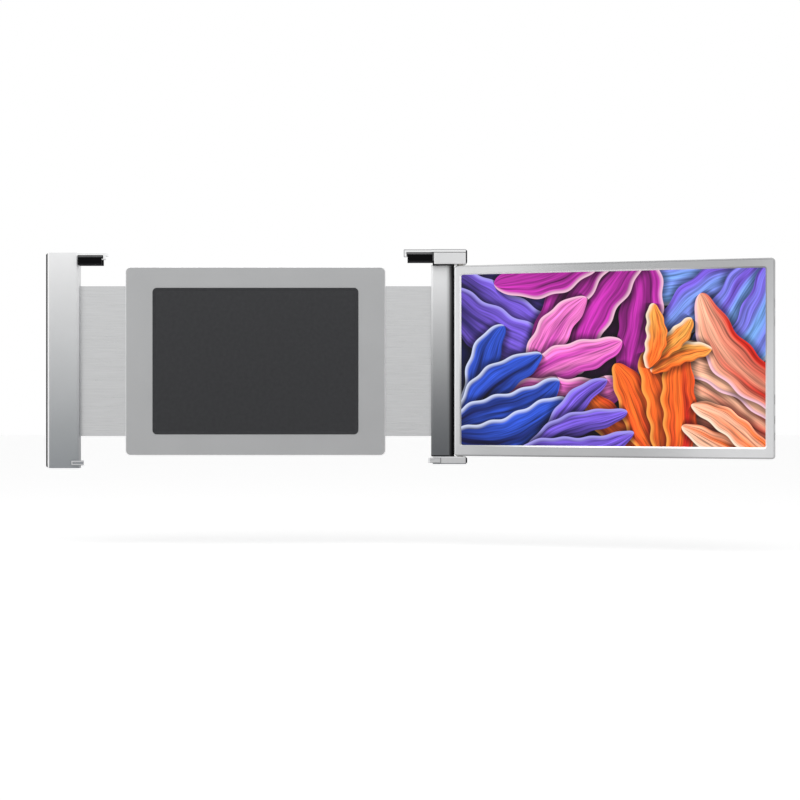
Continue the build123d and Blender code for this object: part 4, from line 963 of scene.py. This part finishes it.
class EXTENDER_OT_rib_rubber(Operator):
    """Grip ribs in the hooks' lid slots and on the kickstand's foot"""
    bl_idname = "extender.rib_rubber"
    bl_label = "Rib the rubber"

    def execute(self, context):
        sizes = context.scene.extender_pieces
        left_low, left_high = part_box("left_hook_pad")
        width = left_high.x - left_low.x - 2 * sizes.rib_inset
        roof = left_low.z + sizes.lip_drop
        for side, body in (("left", "left_bar"), ("right", "right_bracket")):
            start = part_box(f"{side}_hook_pad")[0].x + sizes.rib_inset
            low = Vector((start, -sizes.lid_slot, roof))
            high = Vector((start + width, 0.0, roof))
            rubber_ribs(f"{side}_pad_ribs", low, high, sizes.pad_ribs, body, -sizes.rib_height)
        low, high = (Vector(corner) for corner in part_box("kickstand_foot"))
        low = Vector((low.x + sizes.foot_corner, low.y, high.z))
        high.x -= sizes.foot_corner
        rubber_ribs("foot_ribs", low, high, sizes.foot_ribs, "kickstand", sizes.rib_height)
        return {"FINISHED"}


class EXTENDER_OT_status_light(Operator):
    """A small clear light on the monitor's edge, between the two buttons"""
    bl_idname = "extender.status_light"
    bl_label = "Set the status light"

    def execute(self, context):
        sizes = context.scene.extender_pieces
        upper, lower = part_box("power_button"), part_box("menu_button")
        centre = (upper[0] + upper[1] + lower[0] + lower[1]) / 4
        along = display_axis()
        wall = furthest("power_button", along) - sizes.button_proud
        bpy.ops.object.select_all(action="DESELECT")
        bpy.ops.mesh.primitive_cylinder_add(
            vertices=32, radius=sizes.light_radius, depth=sizes.light_depth,
            location=centre + along * (wall - centre.dot(along)),
            rotation=along.to_track_quat("Z", "Y").to_euler())
        piece = open_piece("status_light")
        bpy.ops.object.mode_set(mode="OBJECT")
        dome = piece.modifiers.new("Dome", "BEVEL")
        dome.width = sizes.light_depth * sizes.light_round
        dome.segments = 4
        dome.limit_method = "ANGLE"
        dome.angle_limit = math.radians(60)
        bpy.ops.object.modifier_apply(modifier=dome.name)
        close_piece(piece, "monitor", moulded("Light lens", (0.55, 0.62, 0.70), 0.12, Coat_Weight=0.6))
        return {"FINISHED"}


def furthest(name, direction):
    """How far a node reaches in a direction."""
    return max(vertex.co.dot(direction) for vertex in nodes[name].data.vertices)


def display_axis():
    """The direction along the display's width, away from the hinge."""
    points = [vertex.co for vertex in nodes["display_panel"].data.vertices]
    first = min(points, key=lambda point: point.x)
    last = max(points, key=lambda point: point.x)
    return Vector((last.x - first.x, last.y - first.y, 0)).normalized()


class EXTENDER_OT_light_display(Operator):
    """The lit picture on the display"""
    bl_idname = "extender.light_display"
    bl_label = "Light the display"

    def execute(self, context):
        material, tree, shader, point = start_material("Lit display", 0.0, Roughness=0.28)
        shader.inputs["Base Color"].default_value = rgba(DARK)
        shader.inputs["Specular IOR Level"].default_value = 0.12
        shader.inputs["Emission Strength"].default_value = 1.0
        feed(tree, silk_picture(tree, point), shader.inputs["Emission Color"])
        give(material, ("display_panel",))
        return {"FINISHED"}


NAVY, ROYAL, VIOLET = (0.004, 0.005, 0.05), (0.03, 0.09, 0.62), (0.20, 0.11, 0.72)
SKY, LAVENDER, MIST = (0.20, 0.42, 0.90), (0.42, 0.38, 0.92), (0.74, 0.80, 1.0)
MAGENTA, PINK, ROSE = (0.55, 0.03, 0.42), (0.90, 0.20, 0.60), (1.0, 0.62, 0.78)
RED, ORANGE, AMBER = (0.60, 0.02, 0.01), (0.98, 0.16, 0.02), (1.0, 0.42, 0.08)
CREAM, PEACH, WINE = (1.0, 0.88, 0.70), (1.0, 0.52, 0.34), (0.035, 0.002, 0.03)

# Each fan of feathers, back to front: its root in picture heights, the first feather's direction and the
# step to the next in degrees, their number, half length, half width and bend, then rim, body and deep.
FANS = (
    ((-0.10, 0.95), 8, -16, 4, 0.46, 0.14, 0.05, LAVENDER, VIOLET, NAVY),
    ((1.85, 1.05), 196, 15, 4, 0.44, 0.13, 0.05, MIST, SKY, VIOLET),
    ((1.00, 1.20), 272, -24, 4, 0.42, 0.12, 0.05, ROSE, MAGENTA, WINE),
    ((1.90, 0.10), 176, -17, 4, 0.46, 0.12, 0.06, ROSE, PEACH, RED),
    ((0.30, 0.28), 52, -22, 3, 0.36, 0.10, 0.04, ROSE, PINK, MAGENTA),
    ((-0.05, 0.05), 62, -16, 4, 0.36, 0.10, 0.05, MIST, ROYAL, NAVY),
    ((1.22, -0.08), 142, -20, 4, 0.32, 0.10, 0.03, AMBER, ORANGE, RED),
    ((0.35, -0.06), 40, -13, 3, 0.34, 0.07, 0.04, LAVENDER, VIOLET, NAVY),
    ((1.10, 0.45), 20, 32, 3, 0.18, 0.06, 0.02, CREAM, AMBER, ORANGE),
    ((1.85, -0.05), 165, -14, 2, 0.30, 0.07, 0.03, CREAM, PEACH, ORANGE),
)
SEED_STEP = 1.7


def silk_picture(tree, point):
    """Fans of silken feathers laid over one another, in the display's own coordinates."""
    low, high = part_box("display_panel")
    left = min((vertex.co for vertex in nodes["display_panel"].data.vertices), key=lambda co: co.x)
    offset = vectors(tree, "SUBTRACT", point, (left.x, left.y, low.z))
    height = high.z - low.z
    across = dot(tree, offset, display_axis()) / height
    place = flat_point(tree, across, axis_of(tree, offset, "Z") / height)
    picture = mix_colours(tree, across, rgba(NAVY), rgba(WINE))
    for root, first, step, count, half, breadth, bend, rim, body, deep in FANS:
        for index in range(count):
            angle = math.radians(first + step * index)
            middle = (root[0] + half * math.cos(angle), root[1] + half * math.sin(angle), 0)
            layer = place_group(
                tree, "Feather", Under=picture, Point=place, Angle=angle, Middle=middle, Length=half,
                Width=breadth, Bend=bend, Seed=sum(root) + SEED_STEP * index, Rim=rgba(rim),
                Body=rgba(body), Deep=rgba(deep))
            picture, place = layer.outputs["Colour"], layer.outputs["Point"]
    return picture


class EXTENDER_OT_set_stage(Operator):
    """Camera, lamps, sky and a pale floor"""
    bl_idname = "extender.set_stage"
    bl_label = "Set the stage"

    def execute(self, context):
        stage = context.scene.extender_stage
        make_camera(stage)
        make_floor(stage)
        make_sky(stage)
        area_lamp("Key lamp", stage.key_place, stage.middle, stage.key_size, stage.key)
        area_lamp("Fill lamp", stage.fill_place, stage.middle, stage.fill_size, stage.fill)
        context.scene.view_settings.view_transform = "Standard"
        return {"FINISHED"}


SENSOR = 36.0  # millimetres, as in small-format film


def make_camera(stage):
    bpy.ops.object.camera_add(location=stage.camera, rotation=(math.radians(90), 0, 0))
    camera = bpy.context.object
    camera.name = "Camera"
    camera.data.lens = stage.lens
    camera.data.sensor_width = SENSOR
    bpy.context.scene.camera = camera


def make_floor(stage):
    """A pale plane that takes shadows and is clear when seen from below."""
    bpy.ops.object.select_all(action="DESELECT")
    bpy.ops.mesh.primitive_plane_add(size=stage.floor_size, location=(0, 0, stage.floor_z))
    floor = bpy.context.object
    floor.name = "floor"
    bpy.ops.object.transform_apply(location=True)
    material, tree, shader, _ = start_material("Pale floor", 0.0, Roughness=0.9)
    shader.inputs["Base Color"].default_value = rgba(FLOOR)
    shader.inputs["Emission Color"].default_value = rgba(WHITE)
    seen = result(tree, "ShaderNodeLightPath", "Is Camera Ray")
    feed(tree, seen * stage.floor_light, shader.inputs["Emission Strength"])
    under = result(tree, "ShaderNodeNewGeometry", "Backfacing")
    feed(tree, 1.0 - under, shader.inputs["Alpha"])
    floor.data.materials.append(material)


def make_sky(stage):
    """White where it is seen or mirrored, and an even grey light elsewhere."""
    world = bpy.data.worlds.new("Sky")
    bpy.context.scene.world = world
    world.use_nodes = True
    tree = world.node_tree
    background = tree.nodes["Background"]
    camera, glossy, through = (result(tree, "ShaderNodeLightPath", f"Is {ray} Ray")
                               for ray in ("Camera", "Glossy", "Transmission"))
    shown = larger(camera, larger(glossy, through))
    strength = result(tree, "ShaderNodeMapRange", inputs={0: shown, 3: stage.sky, 4: 1.0})
    feed(tree, rgba(WHITE), background.inputs["Color"])
    feed(tree, strength, background.inputs["Strength"])


def area_lamp(name, start, target, size, power):
    bpy.ops.object.light_add(type="AREA", location=start)
    lamp = bpy.context.object
    lamp.name = name
    lamp.rotation_euler = (Vector(target) - Vector(start)).to_track_quat("-Z", "Y").to_euler()
    lamp.data.shape = "RECTANGLE"
    lamp.data.size, lamp.data.size_y = size
    lamp.data.energy = power
    lamp.visible_camera = False


# ---------------------------------------------------------------- panel and registration
SETTINGS = {"extender_finish": ExtenderFinish, "extender_seams": ExtenderSeams,
            "extender_pieces": ExtenderPieces, "extender_stage": ExtenderStage}
OPERATORS = (EXTENDER_OT_finish_shells, EXTENDER_OT_finish_dark_parts, EXTENDER_OT_finish_works,
             EXTENDER_OT_lay_liner, EXTENDER_OT_rib_rubber, EXTENDER_OT_status_light,
             EXTENDER_OT_light_display, EXTENDER_OT_set_stage)


class EXTENDER_PT_panel(Panel):
    """Lists the extender's settings and operators."""
    bl_idname = "EXTENDER_PT_panel"
    bl_label = "Screen extender"
    bl_space_type = "VIEW_3D"
    bl_region_type = "UI"
    bl_category = "Extender"

    def draw(self, context):
        for label in SETTINGS:
            settings = getattr(context.scene, label)
            box = self.layout.box()
            for name in settings.__annotations__:
                box.prop(settings, name)
        for operator in OPERATORS:
            self.layout.operator(operator.bl_idname)


CLASSES = (*SETTINGS.values(), *OPERATORS, EXTENDER_PT_panel)


def register():
    for one in CLASSES:
        bpy.utils.register_class(one)
    for label, group in SETTINGS.items():
        setattr(bpy.types.Scene, label, PointerProperty(type=group))


def unregister():
    for label in SETTINGS:
        delattr(bpy.types.Scene, label)
    for one in reversed(CLASSES):
        bpy.utils.unregister_class(one)


def main():
    register()
    build_groups()
    bpy.ops.extender.finish_shells()
    bpy.ops.extender.finish_dark_parts()
    bpy.ops.extender.finish_works()
    bpy.ops.extender.lay_liner()
    bpy.ops.extender.rib_rubber()
    bpy.ops.extender.status_light()
    bpy.ops.extender.light_display()
    bpy.ops.extender.set_stage()


if __name__ == "__main__":
    main()
